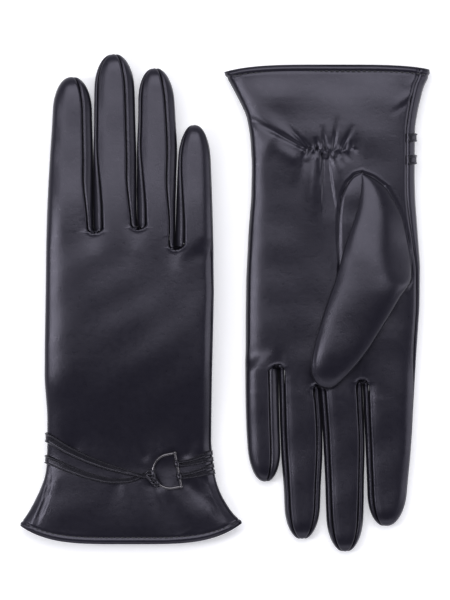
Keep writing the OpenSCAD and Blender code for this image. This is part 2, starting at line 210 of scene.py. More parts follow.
class Glove:
    """Turns a glove's own coordinates into the frame's, and knows the skin of its hand."""

    def __init__(self, hand):
        self.hand, self.side, self.shape = hand, SIDES[hand], SHAPES[hand]
        x, y, _ = JOINTS[f"{hand}_ring_tilt"]["pos_m"]
        self.axis_x = x / MM - self.side * RING_U
        self.cuff_y = y / MM - self.side * RING_V

    def seat(self, p):
        """Points (u, v, n) in the frame, still in millimetres."""
        u, v, n = p[..., 0], p[..., 1], p[..., 2]
        z = soften(self.shape.lie, v, 10)
        return np.stack([self.axis_x + self.side * u, self.cuff_y + self.side * v, z + self.side * n], -1)

    def skin(self, q, v, face, off=0.0):
        """The hand's skin at q across it (past 1 or -1 it goes on round the edge) and v along it."""
        q, v = np.broadcast_arrays(np.asarray(q, float), np.asarray(v, float))
        over = np.abs(q) > 1
        x = np.where(over, np.sign(q) * (2 - np.abs(q)), q)
        rise = self.shape.rise * np.clip(1 - v / 35, 0, None)
        lo = soften(self.shape.low, v + rise, 2.5) - off
        hi = soften(self.shape.high, v + rise, 2.5) + off
        u = mix(lo, hi, (x + 1) / 2)
        along = v + self.shape.rise * (np.abs(u) / 56) ** 4 * np.clip(1 - v / 35, 0, None)
        n = np.where(over, -face, face) * (soften(HALF, v, 4) + off) * bulge(x)
        return np.stack([u, along, n], -1)

    def place(self, u, v):
        """How far across the hand, from -1 to 1, a point lies."""
        lo, hi = soften(self.shape.low, v, 2.5), soften(self.shape.high, v, 2.5)
        return (2 * u - lo - hi) / (hi - lo)

    def height(self, u, v):
        """Distance from the hand's mid-plane to its skin."""
        return soften(HALF, v, 4) * bulge(np.clip(self.place(u, v), -1, 1))

    def finger(self, finger, angle, v, face=BACK, off=0.0):
        """A finger's skin at angle, in degrees, round it and v along it."""
        angle, v = np.broadcast_arrays(np.asarray(angle, float), np.asarray(v, float))
        table = self.shape.fingers[finger]
        lo = soften([(r[0], r[1]) for r in table], v, 8)
        hi = soften([(r[0], r[2]) for r in table], v, 8)
        left = np.clip(table[-1][0] + off - v, 0, None)
        close = mix(0.1, -0.15, ease((v - 190) / 22))
        w = np.clip(((hi - lo) / 2 + close + off) * rounding(left, TIP_ROUND), 0.02, None)
        t = np.clip((mix(HAND_HALF, 4.7, ease((v - 165) / 30)) + off) * rounding(left, TIP_THIN), 0.02, None)
        c, s = np.cos(np.radians(angle)), np.sin(np.radians(angle))
        u = (lo + hi) / 2 + w * spow(c, 0.8)
        return np.stack([u, v, face * t * spow(s, 0.8)], -1)


# ---- Meshes ----


class Net:
    """Welded grids of points in the frame, in millimetres, with the pieces they are cut into."""

    def __init__(self, glove):
        self.glove = glove
        self.points, self.own, self.quads, self.groups, self.seams = [], [], [], [], []
        self.count, self.crease = 0, None

    def grid(self, own, group, flip=False, seams=()):
        """Adds a grid of (u, v, n) points. seams lists index pairs of its points that lie on a seam."""
        rows, cols = own.shape[:2]
        ids = self.count + np.arange(rows * cols).reshape(rows, cols)
        a, b, c, d = ids[:-1, :-1], ids[1:, :-1], ids[1:, 1:], ids[:-1, 1:]
        quads = np.stack([a, b, c, d] if not flip else [a, d, c, b], -1).reshape(-1, 4)
        self.own.append(own.reshape(-1, 3))
        self.quads.append(quads)
        self.groups += [group] * len(quads)
        self.seams += [ids[s].reshape(-1) for s in seams]
        self.count += rows * cols
        return ids

    def weld(self):
        own = np.concatenate(self.own)
        key = np.round(own * 2000).astype(np.int64)
        _, first, back = np.unique(key, axis=0, return_index=True, return_inverse=True)
        back = back.reshape(-1)
        self.own = own[first]
        self.quads = back[np.concatenate(self.quads)]
        if self.glove.side < 0:
            self.quads = self.quads[:, ::-1]
        self.groups = np.array(self.groups)
        self.seams = np.unique(np.concatenate([back[s] for s in self.seams])) if self.seams else []
        self.points = self.glove.seat(self.own)
        self.normals()
        return self

    def normals(self):
        p = self.points[self.quads]
        face = np.cross(p[:, 2] - p[:, 0], p[:, 3] - p[:, 1])
        n = np.zeros_like(self.points)
        for k in range(4):
            np.add.at(n, self.quads[:, k], face)
        self.normal = n / np.maximum(np.linalg.norm(n, axis=1), 1e-9)[:, None]

    def push(self, by):
        """Moves every point along its normal."""
        self.points = self.points + self.normal * np.asarray(by)[:, None]
        self.normals()

    def away_from_seams(self):
        tree = kdtree.KDTree(len(self.seams))
        for i, p in enumerate(self.points[self.seams]):
            tree.insert(p, i)
        tree.balance()
        return np.array([tree.find(p)[2] for p in self.points])


def welded(glove, own, group, flip=False, seams=()):
    """A net of a single grid."""
    net = Net(glove)
    net.grid(own, group, flip, seams)
    return net.weld()


def closed(rings):
    """Rings with their first point again at the end."""
    return np.concatenate([rings, rings[:, :1]], axis=1)


def groove(d, depth, width=0.55):
    """How far leather turns in at distance d from its seam, with a slight roll beside it."""
    return -depth * np.exp(-(d / width) ** 2) + 0.16 * depth * np.exp(-((d - 2.2 * width) / width) ** 2)


def make_object(name, verts, faces, material):
    mesh = bpy.data.meshes.new(name)
    faces = [list(dict.fromkeys(int(i) for i in f)) for f in faces]
    mesh.from_pydata((np.asarray(verts) * MM).tolist(), [], [f for f in faces if len(f) > 2])
    mesh.polygons.foreach_set("use_smooth", [True] * len(mesh.polygons))
    mesh.materials.append(material)
    obj = bpy.data.objects.new(name, mesh)
    bpy.context.scene.collection.objects.link(obj)
    return obj


def keep_rest(obj, own, seam):
    """Stores where each point lies on the glove, and how near a seam, for the material, which paints a highlight
    beside the seams and shade in them; the palm's painted crease shade rides in the same value.
    """
    layer = obj.data.attributes.new("rest", "FLOAT_VECTOR", "POINT")
    layer.data.foreach_set("vector", np.asarray(own, np.float32).reshape(-1))
    layer = obj.data.attributes.new("seam", "FLOAT", "POINT")
    layer.data.foreach_set("value", np.asarray(seam, np.float32))


def shell(net, group, name, thickness, material, seam=None):
    """Cuts one piece out of a net as a closed sheet of the given thickness."""
    quads = net.quads[net.groups == group]
    used, back = np.unique(quads, return_inverse=True)
    quads = back.reshape(-1, 4)
    outer, normal = net.points[used], net.normal[used]
    count = len(used)
    verts = np.concatenate([outer, outer - normal * thickness])
    edges = np.concatenate([quads[:, [k, (k + 1) % 4]] for k in range(4)])
    rim = border(edges)
    walls = np.stack([rim[:, 1], rim[:, 0], rim[:, 0] + count, rim[:, 1] + count], -1)
    flat = np.cross(verts[walls[:, 2]] - verts[walls[:, 0]], verts[walls[:, 3]] - verts[walls[:, 1]])
    flat = flat / np.maximum(np.linalg.norm(flat, axis=1), 1e-9)[:, None]
    both = np.concatenate([normal, -normal])
    faces, corners = [], []
    for face in np.concatenate([quads, quads[:, ::-1] + count]):
        face = list(dict.fromkeys(face.tolist()))
        if len(face) > 2:
            faces.append(face)
            corners += both[face].tolist()
    faces += walls.tolist()
    corners += np.repeat(flat, 4, 0).tolist()
    obj = make_object(name, verts, faces, material)
    near = np.exp(-(net.away_from_seams()[used] / 1.2) ** 2) if seam is None else np.full(count, seam)
    # The palm's painted crease shade joins the seam value here.
    if net.crease is not None:
        near = np.maximum(near, net.crease[used])
    own = net.own[used]
    keep_rest(obj, np.concatenate([own, own]), np.concatenate([near, near]))
    obj.data.normals_split_custom_set(corners)
    return obj


def border(edges):
    """The directed edges that have no partner the other way."""
    size = edges.max() + 1
    there, back = edges[:, 0] * size + edges[:, 1], edges[:, 1] * size + edges[:, 0]
    return edges[~np.isin(there, back)]


def tube(rings, name, material, own=None, seam=0.0, flip=False):
    """A closed tube through rings of points in the frame, in millimetres."""
    rows, cols = rings.shape[:2]
    ids = np.arange(rows * cols).reshape(rows, cols)
    nxt = np.roll(ids, -1, axis=1)
    quads = np.stack([ids[:-1], nxt[:-1], nxt[1:], ids[1:]], -1).reshape(-1, 4)
    faces = [list(q) for q in quads] + [list(ids[0][::-1]), list(ids[-1])]
    if flip:
        faces = [f[::-1] for f in faces]
    obj = make_object(name, rings.reshape(-1, 3), faces, material)
    keep_rest(obj, rings.reshape(-1, 3) if own is None else own.reshape(-1, 3), np.full(rows * cols, seam))
    return obj


# ---- The hand and its fingers ----


def seam_angle(glove, finger, face, little_side, v):
    """The angle, in degrees round a finger, at which its back or palm strip ends on one side."""
    if finger == "little" and little_side:
        return np.full(np.shape(v), 7.0 * face)
    if finger == "index" and not little_side:
        return np.full(np.shape(v), 180.0 + 10 * face)
    table = glove.shape.fingers[finger]
    half = (soften([(r[0], r[2]) for r in table], v, 8) - soften([(r[0], r[1]) for r in table], v, 8)) / 2
    base = CREASE[finger]
    if face == BACK and little_side:
        inset = mix(2.6, 4.7, ease((v - base + 10) / 28))
    elif face == BACK:
        inset = mix(4.2, 1.3, ease((v - base + 3) / 38))
    else:
        inset = np.full(np.shape(v), 4.6 if finger == "little" else 2.5)
    angle = np.degrees(np.arccos(np.clip(1 - inset / half, 0.05, 0.99) ** 1.25))
    return angle if little_side else 180 - angle


def spread(count, tight_start, tight_end):
    """Places from 0 to 1, closer together at a tight end."""
    t = np.linspace(0, 1, count)
    if tight_start and tight_end:
        return mix(t, (1 - np.cos(math.pi * t)) / 2, 0.8)
    if tight_start:
        return mix(t, t ** 2, 0.8)
    if tight_end:
        return mix(t, 1 - (1 - t) ** 2, 0.8)
    return t


class Block:
    """The columns of one finger's share of the back or palm, from the little side to the index side."""

    def __init__(self, glove, finger, face):
        self.glove, self.finger, self.face = glove, finger, face
        forks = glove.shape.forks if face == BACK else glove.shape.palm_forks
        i = FINGERS.index(finger)
        self.near_fork = forks[i] if i < 3 else None
        self.far_fork = forks[i - 1] if i > 0 else None
        q_near = float(glove.place(*self.near_fork)) if i < 3 else 1.0
        q_far = float(glove.place(*self.far_fork)) if i > 0 else -1.0
        self.near_turn = self.far_turn = self.over = np.zeros(0)
        more = 1.6 if face == PALM else 1.0
        if finger in ("middle", "ring"):
            self.t = spread(int(27 * more), True, True)
            self.q = mix(q_near, q_far, self.t)
        elif finger == "index":
            self.t = spread(int(30 * more), True, False)
            if face == BACK:
                self.q = -1 + (q_near + 1) * (1 - self.t) ** 2.0
                self.far_turn = np.linspace(0, 1, 8)[1:]
            else:
                self.q = mix(q_near, -1, self.t)
        else:
            self.t = spread(int(30 * more), False, True)
            near = 0.985 if face == BACK else 1.0
            self.q = q_far + (near - q_far) * (1 - self.t) ** 2.0
            if face == PALM:
                self.near_turn = np.linspace(0, 1, 5)[:-1]
        count = len(self.near_turn) + len(self.t) + len(self.far_turn)
        s = np.linspace(0, 1, count)
        self.near_edge = np.exp(-(s / 0.24) ** 2) * (s < 0.6) * (i < 3)
        self.far_edge = np.exp(-((1 - s) / 0.24) ** 2) * (s > 0.4) * (i > 0)

    def angles(self, v):
        """Where each column runs round the finger, in degrees, for each v."""
        a, b = (seam_angle(self.glove, self.finger, self.face, side, v)[:, None] for side in (True, False))
        a, b = a + SLIT * (self.finger != "little"), b - SLIT * (self.finger != "index")
        if len(self.far_turn):
            return np.concatenate([mix(a, 180, self.t), mix(180, b, self.far_turn)], axis=1)
        if len(self.near_turn):
            return np.concatenate([mix(a, 0, self.near_turn), mix(0 * a, b, self.t)], axis=1)
        return mix(a, b, self.t)

    def across(self, v):
        """Where each column lies across the hand, from 1 to -1 and past them, for each v."""
        q = np.broadcast_to(self.q, (len(v), len(self.q)))
        if self.finger == "index" and self.face == PALM:
            return q + side_seam(v)[:, None] * self.t
        if len(self.far_turn):
            return np.concatenate([q, -1 - side_seam(v)[:, None] * self.far_turn], axis=1)
        if len(self.near_turn):
            return np.concatenate([np.broadcast_to(mix(1.015, 1, self.near_turn), (len(v), 4)), q], axis=1)
        return q


def side_seam(v):
    """How far the index side's seam lies in from the edge, on the palm, as a share of the half width."""
    return mix(0.1, 0.03, ease((v - 60) / 60))


def notch(past):
    """The round end of the gap between two fingers: how open it is, a way past the fork."""
    return np.sqrt(np.clip(1 - (1 - np.clip(past / NOTCH, 0, 1)) ** 2, 0, None))


def finger_rows(glove, finger, start):
    """Rows along a finger from start to its tip, close together where it rounds off."""
    tip = glove.shape.fingers[finger][-1][0]
    turn = tip - TIP_ROUND * (1 - np.sin(np.linspace(0, math.pi / 2, 18)))
    return np.concatenate([np.linspace(start, turn[0], int((turn[0] - start) / 1.4) + 2)[:-1], turn])


def face_net(glove, face):
    """The whole outer surface of a glove's back or palm, from the cuff's edge to the fingertips."""
    net = Net(glove)
    flip = face == PALM
    forks = glove.shape.forks if face == BACK else glove.shape.palm_forks
    step = 0.55 if face == PALM else 1.0
    hand_rows = [np.arange(0, 7, 0.5), np.arange(7, 29, 1), np.arange(29, 60, step), np.arange(60, 134, 1.4),
                 [136, 137, 138]]
    hand_rows = np.concatenate(hand_rows)
    web = np.arange(WEB_ROW, 164.01, 0.65)
    web = np.concatenate([web, [154.0, 164.0]] + [f[1] + np.array([0, 0.15, 0.45, 0.9, 1.5, NOTCH]) for f in forks])
    web = np.unique(np.round(web[web <= 164.0], 3))
    web = np.delete(web, np.where(np.diff(web) < 0.08)[0] + 1)
    web = np.unique(np.concatenate([web, [154.0, 164.0]]))
    for finger in FINGERS:
        block = Block(glove, finger, face)
        side = slice(0, 1) if finger == "little" else slice(-1, None)
        outer = [(slice(None), side)] if finger in ("little", "index") else []
        net.grid(glove.skin(block.across(hand_rows), hand_rows[:, None], face), "hand", flip, outer)
        join = JOIN[finger]
        v = web[web <= join]
        grown = np.repeat(ease((v - WEB_ROW) / (join - WEB_ROW))[:, None], len(block.near_edge), 1)
        seams = list(outer)
        for fork, weight, column in ((block.near_fork, block.near_edge, 0), (block.far_fork, block.far_edge, -1)):
            if fork:
                grown = mix(grown, notch(v - fork[1])[:, None], weight)
                grown[:, column] = notch(v - fork[1])
                seams.append((np.where(v >= fork[1])[0], column))
        grown[-1] = 1
        on_hand = glove.skin(block.across(v), v[:, None], face)
        on_finger = glove.finger(finger, block.angles(v), v[:, None], face)
        net.grid(mix(on_hand, on_finger, grown[..., None]), "hand", flip, seams)
        v = finger_rows(glove, finger, join)
        strip = glove.finger(finger, block.angles(v), v[:, None], face)
        net.grid(strip, finger, flip, [(slice(None), 0), (slice(None), -1)])
    return net.weld()


def near_tip(glove, u, v):
    """Less than 1 close to a fingertip, where seams run together."""
    tips = [(r[-1][1] / 2 + r[-1][2] / 2, r[-1][0]) for r in glove.shape.fingers.values()]
    d = np.min([np.hypot(u - a, v - b) for a, b in tips], axis=0)
    return 0.3 + 0.7 * ease(d / 6)


def valleys(glove, face, u, v):
    """The hollows that lead to the gaps between the fingers, and the pucker round their ends."""
    forks = glove.shape.forks if face == BACK else glove.shape.palm_forks
    total = np.zeros_like(u)
    for fu, fv in forks:
        total -= 0.55 * np.exp(-((u - fu) / 3.2) ** 2) * ease((v - fv + 13) / 13) * (v < fv + 6)
        d = np.hypot(u - fu, np.clip(fv + NOTCH - v, 0, None)) - NOTCH
        total += 0.12 * np.exp(-((d - 1.3) / 0.9) ** 2) * np.exp(-((v - fv) / 4) ** 2)
    return total


def back_wrinkles(glove, u, v):
    """Soft undulation of the back, its waist under the strap and the flutes of the cuff."""
    inside = ease((v - 2) / 8)
    total = 0.24 * waves(u, v, 11 + glove.side, 34) * inside * (1 - ease((v - 135) / 20))
    total += 0.14 * waves(u, v, 21 + glove.side, 13) * inside * (1 - ease((v - 120) / 40))
    cuff = 1 - ease((v - 14) / 20)
    total += 0.25 * cuff * np.cos((u + 31) / 9.5) * np.exp(-((u + 32) / 15) ** 2)
    for a, b, depth, near, far, fade in (
        ((19, 25.5), (42, 3), 0.6, 4.5, 10, 0.25), ((12, 29), (24, 4), -0.9, 3.5, 8, 0.5),
                                         ((30, 30), (49, 12), -0.5, 2.6, 4, 0.5),
        ((8, 44), (4, 66), -0.5, 2.6, 6.5, 1.5), ((29, 45), (33, 66), -0.7, 2.6, 6, 1.2),
                                         ((17, 46), (15, 62), 0.7, 3.0, 6, 1.3),
        ((22, 48), (23, 58), 0.5, 3.2, 5, 1.3), ((36, 48), (38, 60), 0.4, 2.4, 4, 1.3),
                                         ((-28, 47), (-22, 62), -0.4, 2.6, 6, 1.5),
        ((-6, 29), (-9, 12), -0.5, 2.6, 6.5, 1.2), ((-36, 32), (-44, 12), 0.2, 2.6, 3.6, 0.6),
        ((36, 33), (39, 24), -0.7, 1.2, 2.2, 0.8),
    ):
        total += fold(u, v, a, b, depth, near, far, fade)
    total -= 0.2 * np.exp(-((v - 37 - 0.004 * u * u) / 5.5) ** 2)
    reach = soften([(0, 4.8), (20, 4.6), (36, 2.2), (44, 0.4)], v)
    for edge, sign in ((glove.shape.low, 1), (glove.shape.high, -1)):
        off = (u - soften(edge, v + glove.shape.rise * np.clip(1 - v / 35, 0, None), 2.5)) * sign - reach
        total += (groove(off, 0.55, 0.5) + 0.35 * np.exp(-((off + 2.2) / 1.1) ** 2)) * ease((42 - v) / 14) * inside
    return total


GATHER_A, GATHER_B = np.array([16.8, 44.4]), np.array([-13.4, 41.0])
# The gather's pleats: where each starts and ends, how deep it is, and how much of it is shut tight, a share that is
# painted dark as the shade in its closed bottom
PLEATS = [
    ((11.7, 41.5), (23.7, 29.5), 1.0, 0.55), ((11.7, 41.5), (16.0, 48.6), 0.9, 0.9),
          ((7.9, 41.6), (8.8, 35.5), 0.8, 0.6),
    ((7.9, 41.6), (10.4, 45.2), 0.7, 0.8), ((3.4, 42.2), (5.4, 29.5), 1.0, 0.75),
          ((-0.3, 42.0), (-2.4, 25.0), 1.0, 0.4),
    ((-4.6, 41.9), (-10.4, 29.0), 1.0, 0.5), ((-9.4, 41.4), (-8.6, 37.0), 0.5, 0.5),
          ((2.2, 43.3), (-0.9, 58.0), 1.0, 0.9),
    ((5.4, 43.8), (5.5, 60.0), 1.0, 0.9), ((-1.8, 43.3), (-5.0, 51.5), 0.8, 0.9),
          ((-6.0, 43.6), (-7.8, 48.5), 0.5, 0.7),
    ((13.8, 42.4), (15.0, 45.4), 0.6, 0.6), ((-10.6, 42.0), (-12.6, 43.6), 0.4, 0.5),
]


def palm_wrinkles(glove, u, v):
    """The elastic gather at the wrist, the folds that spread from it, and the palm's soft hollows, with a map of
    painted shade for the pleats, two creases and the thumb's arc seams.
    """
    total = 0.34 * waves(u, v, 31 + glove.side, 36) * ease((v - 2) / 8) * (1 - ease((v - 140) / 18))
    total += 0.1 * waves(u, v, 41 + glove.side, 12) * ease((v - 2) / 8)
    t = (GATHER_A[0] - u) / (GATHER_A[0] - GATHER_B[0])
    line = mix(GATHER_A[1], GATHER_B[1], np.clip(t, -0.2, 1.2)) + 0.35 * np.sin(u * 2.2)
    inside = ease((t + 0.12) / 0.2) * ease((1.12 - t) / 0.2)
    total -= 0.35 * np.exp(-((v - line) / 6.5) ** 2) * inside
    # dark maps painted shade: the material paints these pleats, creases and arc seams dull black, where shade falls
    # in them.
    dark = np.zeros_like(u)
    for a, b, depth, share in PLEATS:
        total += fold(u, v, a, b, -1.05 * depth, 0.6, 1.5, 1.2)
        end = mix(np.array(a), np.array(b), share)
        dark = np.maximum(dark, fold(u, v, a, end, 1.0, 0.95, 0.5, 0.1))
    for a, b in ((14.6, 43.0), (9.6, 42.4), (5.4, 41.6), (1.3, 41.9), (-2.8, 42.3), (-6.9, 42.6), (3.4, 44.4),
                 (-0.6, 44.8)):
        total += 0.55 * np.exp(-((u - a) / 0.85) ** 2 - ((v - b) / 1.5) ** 2)
    left, right = mix(5.4, 6.0, (v - 44) / 30), mix(2.0, -2.4, (v - 44) / 30)
    channel = ease((left - u) / 0.9) * ease((u - right) / 0.9)
    total -= 0.85 * channel * ease((v - 44) / 3) * (1 - ease((v - 54) / 26))
    for a, b, depth, near, far, fade in (
        ((13.5, 41.8), (41.5, 26.8), -0.9, 0.8, 1.8, 0.35), ((18, 38), (41, 20.5), 0.4, 2.6, 4.6, 0.5),
        ((20, 46), (40, 33), 0.4, 3.0, 4.5, 0.6), ((-45, 10.5), (-30, 21.5), 0.7, 2.0, 3.0, 0.9),
        ((-43.5, 14.6), (-28.5, 25), -0.3, 1.1, 1.6, 0.6), ((-45, 6.5), (-36, 12), 0.7, 2.2, 3.0, 0.8),
        ((8.8, 47), (9.6, 76), 0.5, 1.2, 2.6, 0.7), ((-3, 47), (-4.5, 64), 0.4, 1.4, 2.4, 0.9),
        ((14, 49), (19, 68), -0.4, 2.0, 4.0, 1.0), ((30, 36), (37, 52), 0.35, 3.0, 5.0, 1.0),
    ):
        total += fold(u, v, a, b, depth, near, far, fade)
    for a, b in (((41.5, 26.8), (24, 36.2)), ((-44, 14.8), (-30, 24))):
        dark = np.maximum(dark, fold(u, v, a, b, 0.97, 0.6, 0.4, 0.12))
    total -= 0.6 * np.exp(-((u - 8) / 8) ** 2) * ease((v - 60) / 30) * (1 - ease((v - 118) / 30))
    cuff = 1 - ease((v - 10) / 20)
    total += 0.7 * cuff * np.exp(-((u - 22) / 13) ** 2) - 0.4 * cuff * np.exp(-((u + 5) / 12) ** 2)
    total += 0.22 * np.exp(-((u - 29) / 8) ** 2 - ((v - 17) / 7) ** 2)
    for arc in (INNER_ARC, OUTER_ARC):
        dark = np.maximum(dark, np.exp(-(arc_distance(u, v, arc) / 0.8) ** 2))
    return np.maximum(total, -2.0), dark


def arc_distance(u, v, arc):
    """Distance in plan from points to a line of points."""
    best = np.full(np.shape(u), 1e9)
    for a, b in zip(np.asarray(arc)[:-1], np.asarray(arc)[1:]):
        d = b - a
        t = np.clip(((u - a[0]) * d[0] + (v - a[1]) * d[1]) / (d @ d), 0, 1)
        best = np.minimum(best, np.hypot(u - a[0] - d[0] * t, v - a[1] - d[1] * t))
    return best


def dressed_face(glove, face):
    """A face's net with its wrinkles, seams and hem worked in."""
    sizes = bpy.context.scene.glove_sizes
    net = face_net(glove, face)
    u, v = net.own[:, 0], net.own[:, 1]
    on_face = net.own[:, 2] * face > 0.3
    hand = (v < 166) & on_face
    edge = ease(np.abs(net.own[:, 2]) / 3.2)
    if face == BACK:
        field = back_wrinkles(glove, u, v)
    else:
        field, dark = palm_wrinkles(glove, u, v)
        # The palm's painted crease shade, which reaches the material through the seam value.
        net.crease = np.where(hand, dark, 0)
    fingers = 0.14 * waves(u * 1.4, v, 61 + glove.side, 16) * ease((v - 160) / 20)
    net.push(sizes.fold_depth * (np.where(hand, field, 0) * edge) + np.where(hand, valleys(glove, face, u, v),
                                                                             0) + fingers * edge)
    d = net.away_from_seams()
    by = groove(d, sizes.seam_depth / MM) * near_tip(glove, u, v)
    if face == PALM:
        for arc in (INNER_ARC, OUTER_ARC):
            by += groove(arc_distance(u, v, arc), 0.6) * on_face
    hem = np.clip(v - edge_rise(glove, u, v), 0, None)
    stitch = np.abs(hem - 3.0)
    by += (-0.28 * np.exp(-(stitch / 0.5) ** 2) - 0.35 * np.exp(-(hem / 0.5) ** 2)
           + 0.18 * np.exp(-((hem - 1.5) / 0.8) ** 2))
    net.push(by)
    return net


def edge_rise(glove, u, v):
    """How far the cuff's edge curves up at u."""
    return glove.shape.rise * (np.abs(u) / 56) ** 4


def settle(obj, node, body):
    """Hides the CAD node a piece stands for and puts the piece on the body it rides on."""
    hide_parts(node)
    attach(obj, body)


def bend(obj, glove, start, end):
    """Works out the span, from start to end given as (u, v), between the hand and a body over which a piece would
    bend, and bakes the piece's transform into its points.
    """
    ends = [glove.seat(np.array([*place, 0.0])) * MM for place in (start, end)]
    start, end = ((e[0], e[1], 0.0) for e in ends)
    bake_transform(obj)


def bend_at_crease(obj, glove, finger):
    """Works out the span between the hand and a finger over which a piece would bend, and bakes the piece's
    transform into its points.
    """
    table = glove.shape.fingers[finger]
    mid = (table[0][1] + table[0][2]) / 2
    bend(obj, glove, (mid, JOIN[finger]), (mid, BEND_END[finger]))


def side_walls(glove, finger, look):
    """The narrow walls let in between neighbouring fingers, from the fork to the tip."""
    net = Net(glove)
    i = FINGERS.index(finger)
    tip = glove.shape.fingers[finger][-1][0]
    share = spread(21, True, True)
    for little_side, k in ((True, i), (False, i - 1)):
        if not 0 <= k < 3:
            continue
        low, high = np.array(glove.shape.palm_forks[k]), np.array(glove.shape.forks[k])
        fork = mix(low, high, share[:, None])
        n = mix(-glove.height(*low), glove.height(*high), share)
        rows = np.concatenate([[0, 0.1, 0.35, 0.8, 1.5, NOTCH],
                               finger_rows(glove, finger, fork[0, 1] + NOTCH + 1) - fork[0, 1]])
        v = fork[:, 1] + (tip - fork[:, 1]) * rows[:, None] / rows[-1]
        palm, back = (seam_angle(glove, finger, face, little_side, v) for face in (PALM, BACK))
        if little_side:
            angle = mix(SLIT - palm, back - SLIT, share)
        else:
            angle = mix(360 - palm - SLIT, back + SLIT, share)
        start = np.stack([np.broadcast_to(fork[:, 0], v.shape), v, np.broadcast_to(n, v.shape)], -1)
        own = mix(start, glove.finger(finger, angle, v), notch(v - fork[:, 1])[..., None])
        net.grid(own, "wall", not little_side, [(slice(None), 0), (slice(None), -1)])
    net.weld()
    v = net.own[:, 1]
    net.push(0.1 * waves(net.own[:, 2] * 2, v, 71 + i, 14) * ease((v - 165) / 10))
    net.push(groove(net.away_from_seams(), bpy.context.scene.glove_sizes.seam_depth / MM))
    obj = shell(net, "wall", f"{glove.hand}_{finger}_fourchette", 0.8, look)
    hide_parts(f"{glove.hand}_{finger}_finger_fourchette")
    return obj


# ---- Materials ----


class Value:
    """A shader socket that adds Math nodes when it is used in arithmetic."""

    def __init__(self, shader, socket):
        self.shader, self.socket = shader, socket

    def _math(self, operation, a, b):
        return self.shader.add("ShaderNodeMath", {"operation": operation}, {0: a, 1: b})

    def __add__(self, other):
        return self._math("ADD", self, other)

    __radd__ = __add__

    def __sub__(self, other):
        return self._math("SUBTRACT", self, other)

    def __rsub__(self, other):
        return self._math("SUBTRACT", other, self)

    def __mul__(self, other):
        return self._math("MULTIPLY", self, other)

    __rmul__ = __mul__


class Shader:
    """The node tree of a material or a world, built by naming nodes and what goes into them."""

    def __init__(self, owner, surface="Principled BSDF"):
        self.owner = owner
        owner.use_nodes = True
        self.tree = owner.node_tree
        self.surface = self.tree.nodes[surface]

    def add(self, kind, settings=None, values=None, output=0):
        """Adds a node, sets it up and fills its sockets, and gives back one of its outputs."""
        node = self.tree.nodes.new(kind)
        for key, value in (settings or {}).items():
            if key == "stops":
                elements = node.color_ramp.elements
                for k, (place, colour) in enumerate(value):
                    element = elements[k] if k < 2 else elements.new(place)
                    element.position, element.color = place, colour
            else:
                setattr(node, key, value)
        for key, value in (values or {}).items():
            self.fill(node.inputs[key], value)
        return Value(self, node.outputs[output])

    def fill(self, socket, value):
        if isinstance(value, Value):
            self.tree.links.new(value.socket, socket)
        else:
            socket.default_value = value

    def finish(self, **inputs):
        for key, value in inputs.items():
            self.fill(self.surface.inputs[key.replace("_", " ")], value)
        return self.owner

    def paint_shade(self, share):
        """Paints shade: lets the surface go to a dull black by share, standing in for the shade at the bottom of a
        crease or a seam.
        """
        values = {"Base Color": (0.0015, 0.0014, 0.002, 1), "Roughness": 0.9, "Specular IOR Level": 0.0}
        dull = self.add("ShaderNodeBsdfPrincipled", {}, values)
        shown = Value(self, self.surface.outputs[0])
        both = self.add("ShaderNodeMixShader", {}, {0: share, 1: shown, 2: dull})
        self.fill(self.tree.nodes["Material Output"].inputs[0], both)

    def blend(self, share, a, b):
        return self.add("ShaderNodeMix", {"data_type": "RGBA"}, {0: share, 6: a, 7: b}, 2)

    def noise(self, where, scale, detail=3.0, rough=0.5):
        return self.add("ShaderNodeTexNoise", {},
                        {"Vector": where, "Scale": scale, "Detail": detail, "Roughness": rough})

    def ramp(self, value, start, end):
        return self.add("ShaderNodeMapRange", {}, {"Value": value, "From Min": start, "From Max": end})

    def attribute(self, name, output):
        return self.add("ShaderNodeAttribute", {"attribute_name": name}, {}, output)

    def bump(self, height, distance, strength=1.0, under=None):
        values = {"Height": height, "Distance": distance, "Strength": strength}
        if under:
            values["Normal"] = under
        return self.add("ShaderNodeBump", {}, values)


def tint(colour, by):
    return tuple(min(1.0, c * by) for c in colour[:3]) + (1.0,)


def leather(name, colour, rough, grain):
    """Smooth dyed leather: fine pebbled grain, pores and faint mottling, with a painted highlight on the rolled edge
    beside its seams.
    """
    s = Shader(bpy.data.materials.new(name))
    where = s.attribute("rest", 1)
    seam = s.attribute("seam", 2)
    mottle = s.noise(where, 0.045, 4.0, 0.6)
    cloud = s.noise(where, 0.35, 3.0, 0.55)
    cell = s.add("ShaderNodeTexVoronoi", {"feature": "SMOOTH_F1"},
                 {"Vector": where, "Scale": 1.25, "Smoothness": 0.6})
    fine = s.noise(where, 3.2, 4.0, 0.65)
    pores = s.noise(where, 1.1, 2.0, 0.5)
    share = mottle * 0.7 + cloud * 0.3
    base = s.blend(share, tint(colour, 0.7), tint(colour, 1.35))
    # A band beside each seam is painted lighter, as a painted highlight on the leather's rolled edge.
    highlight_band = s.ramp(seam, 0.25, 0.6) - s.ramp(seam, 0.72, 0.9)
    # Nearest a seam and in the palm's creases the surface is mixed to dull black, as painted shade in the gap.
    slit_shade = s.ramp(seam, 0.86, 0.97)
    seam_highlight = s.blend(highlight_band * 0.2, base, tint(colour, 2.2))
    grainy = s.blend(cell * 0.25, seam_highlight, tint(colour, 0.5))
    height = cell * 0.75 + fine * 0.35 + pores * 0.3
    coarse = s.bump(cloud, 0.0003, 0.15)
    s.paint_shade(slit_shade * 0.9)
    return s.finish(
        Base_Color=grainy,
        Roughness=rough - 0.08 + cloud * 0.1 + fine * 0.1,
        Normal=s.bump(height, grain, 0.55, coarse),
        Specular_IOR_Level=0.5,
        Specular_Tint=(0.84, 0.81, 1.0, 1.0),
        Sheen_Weight=0.03,
        Sheen_Roughness=0.4,
    )


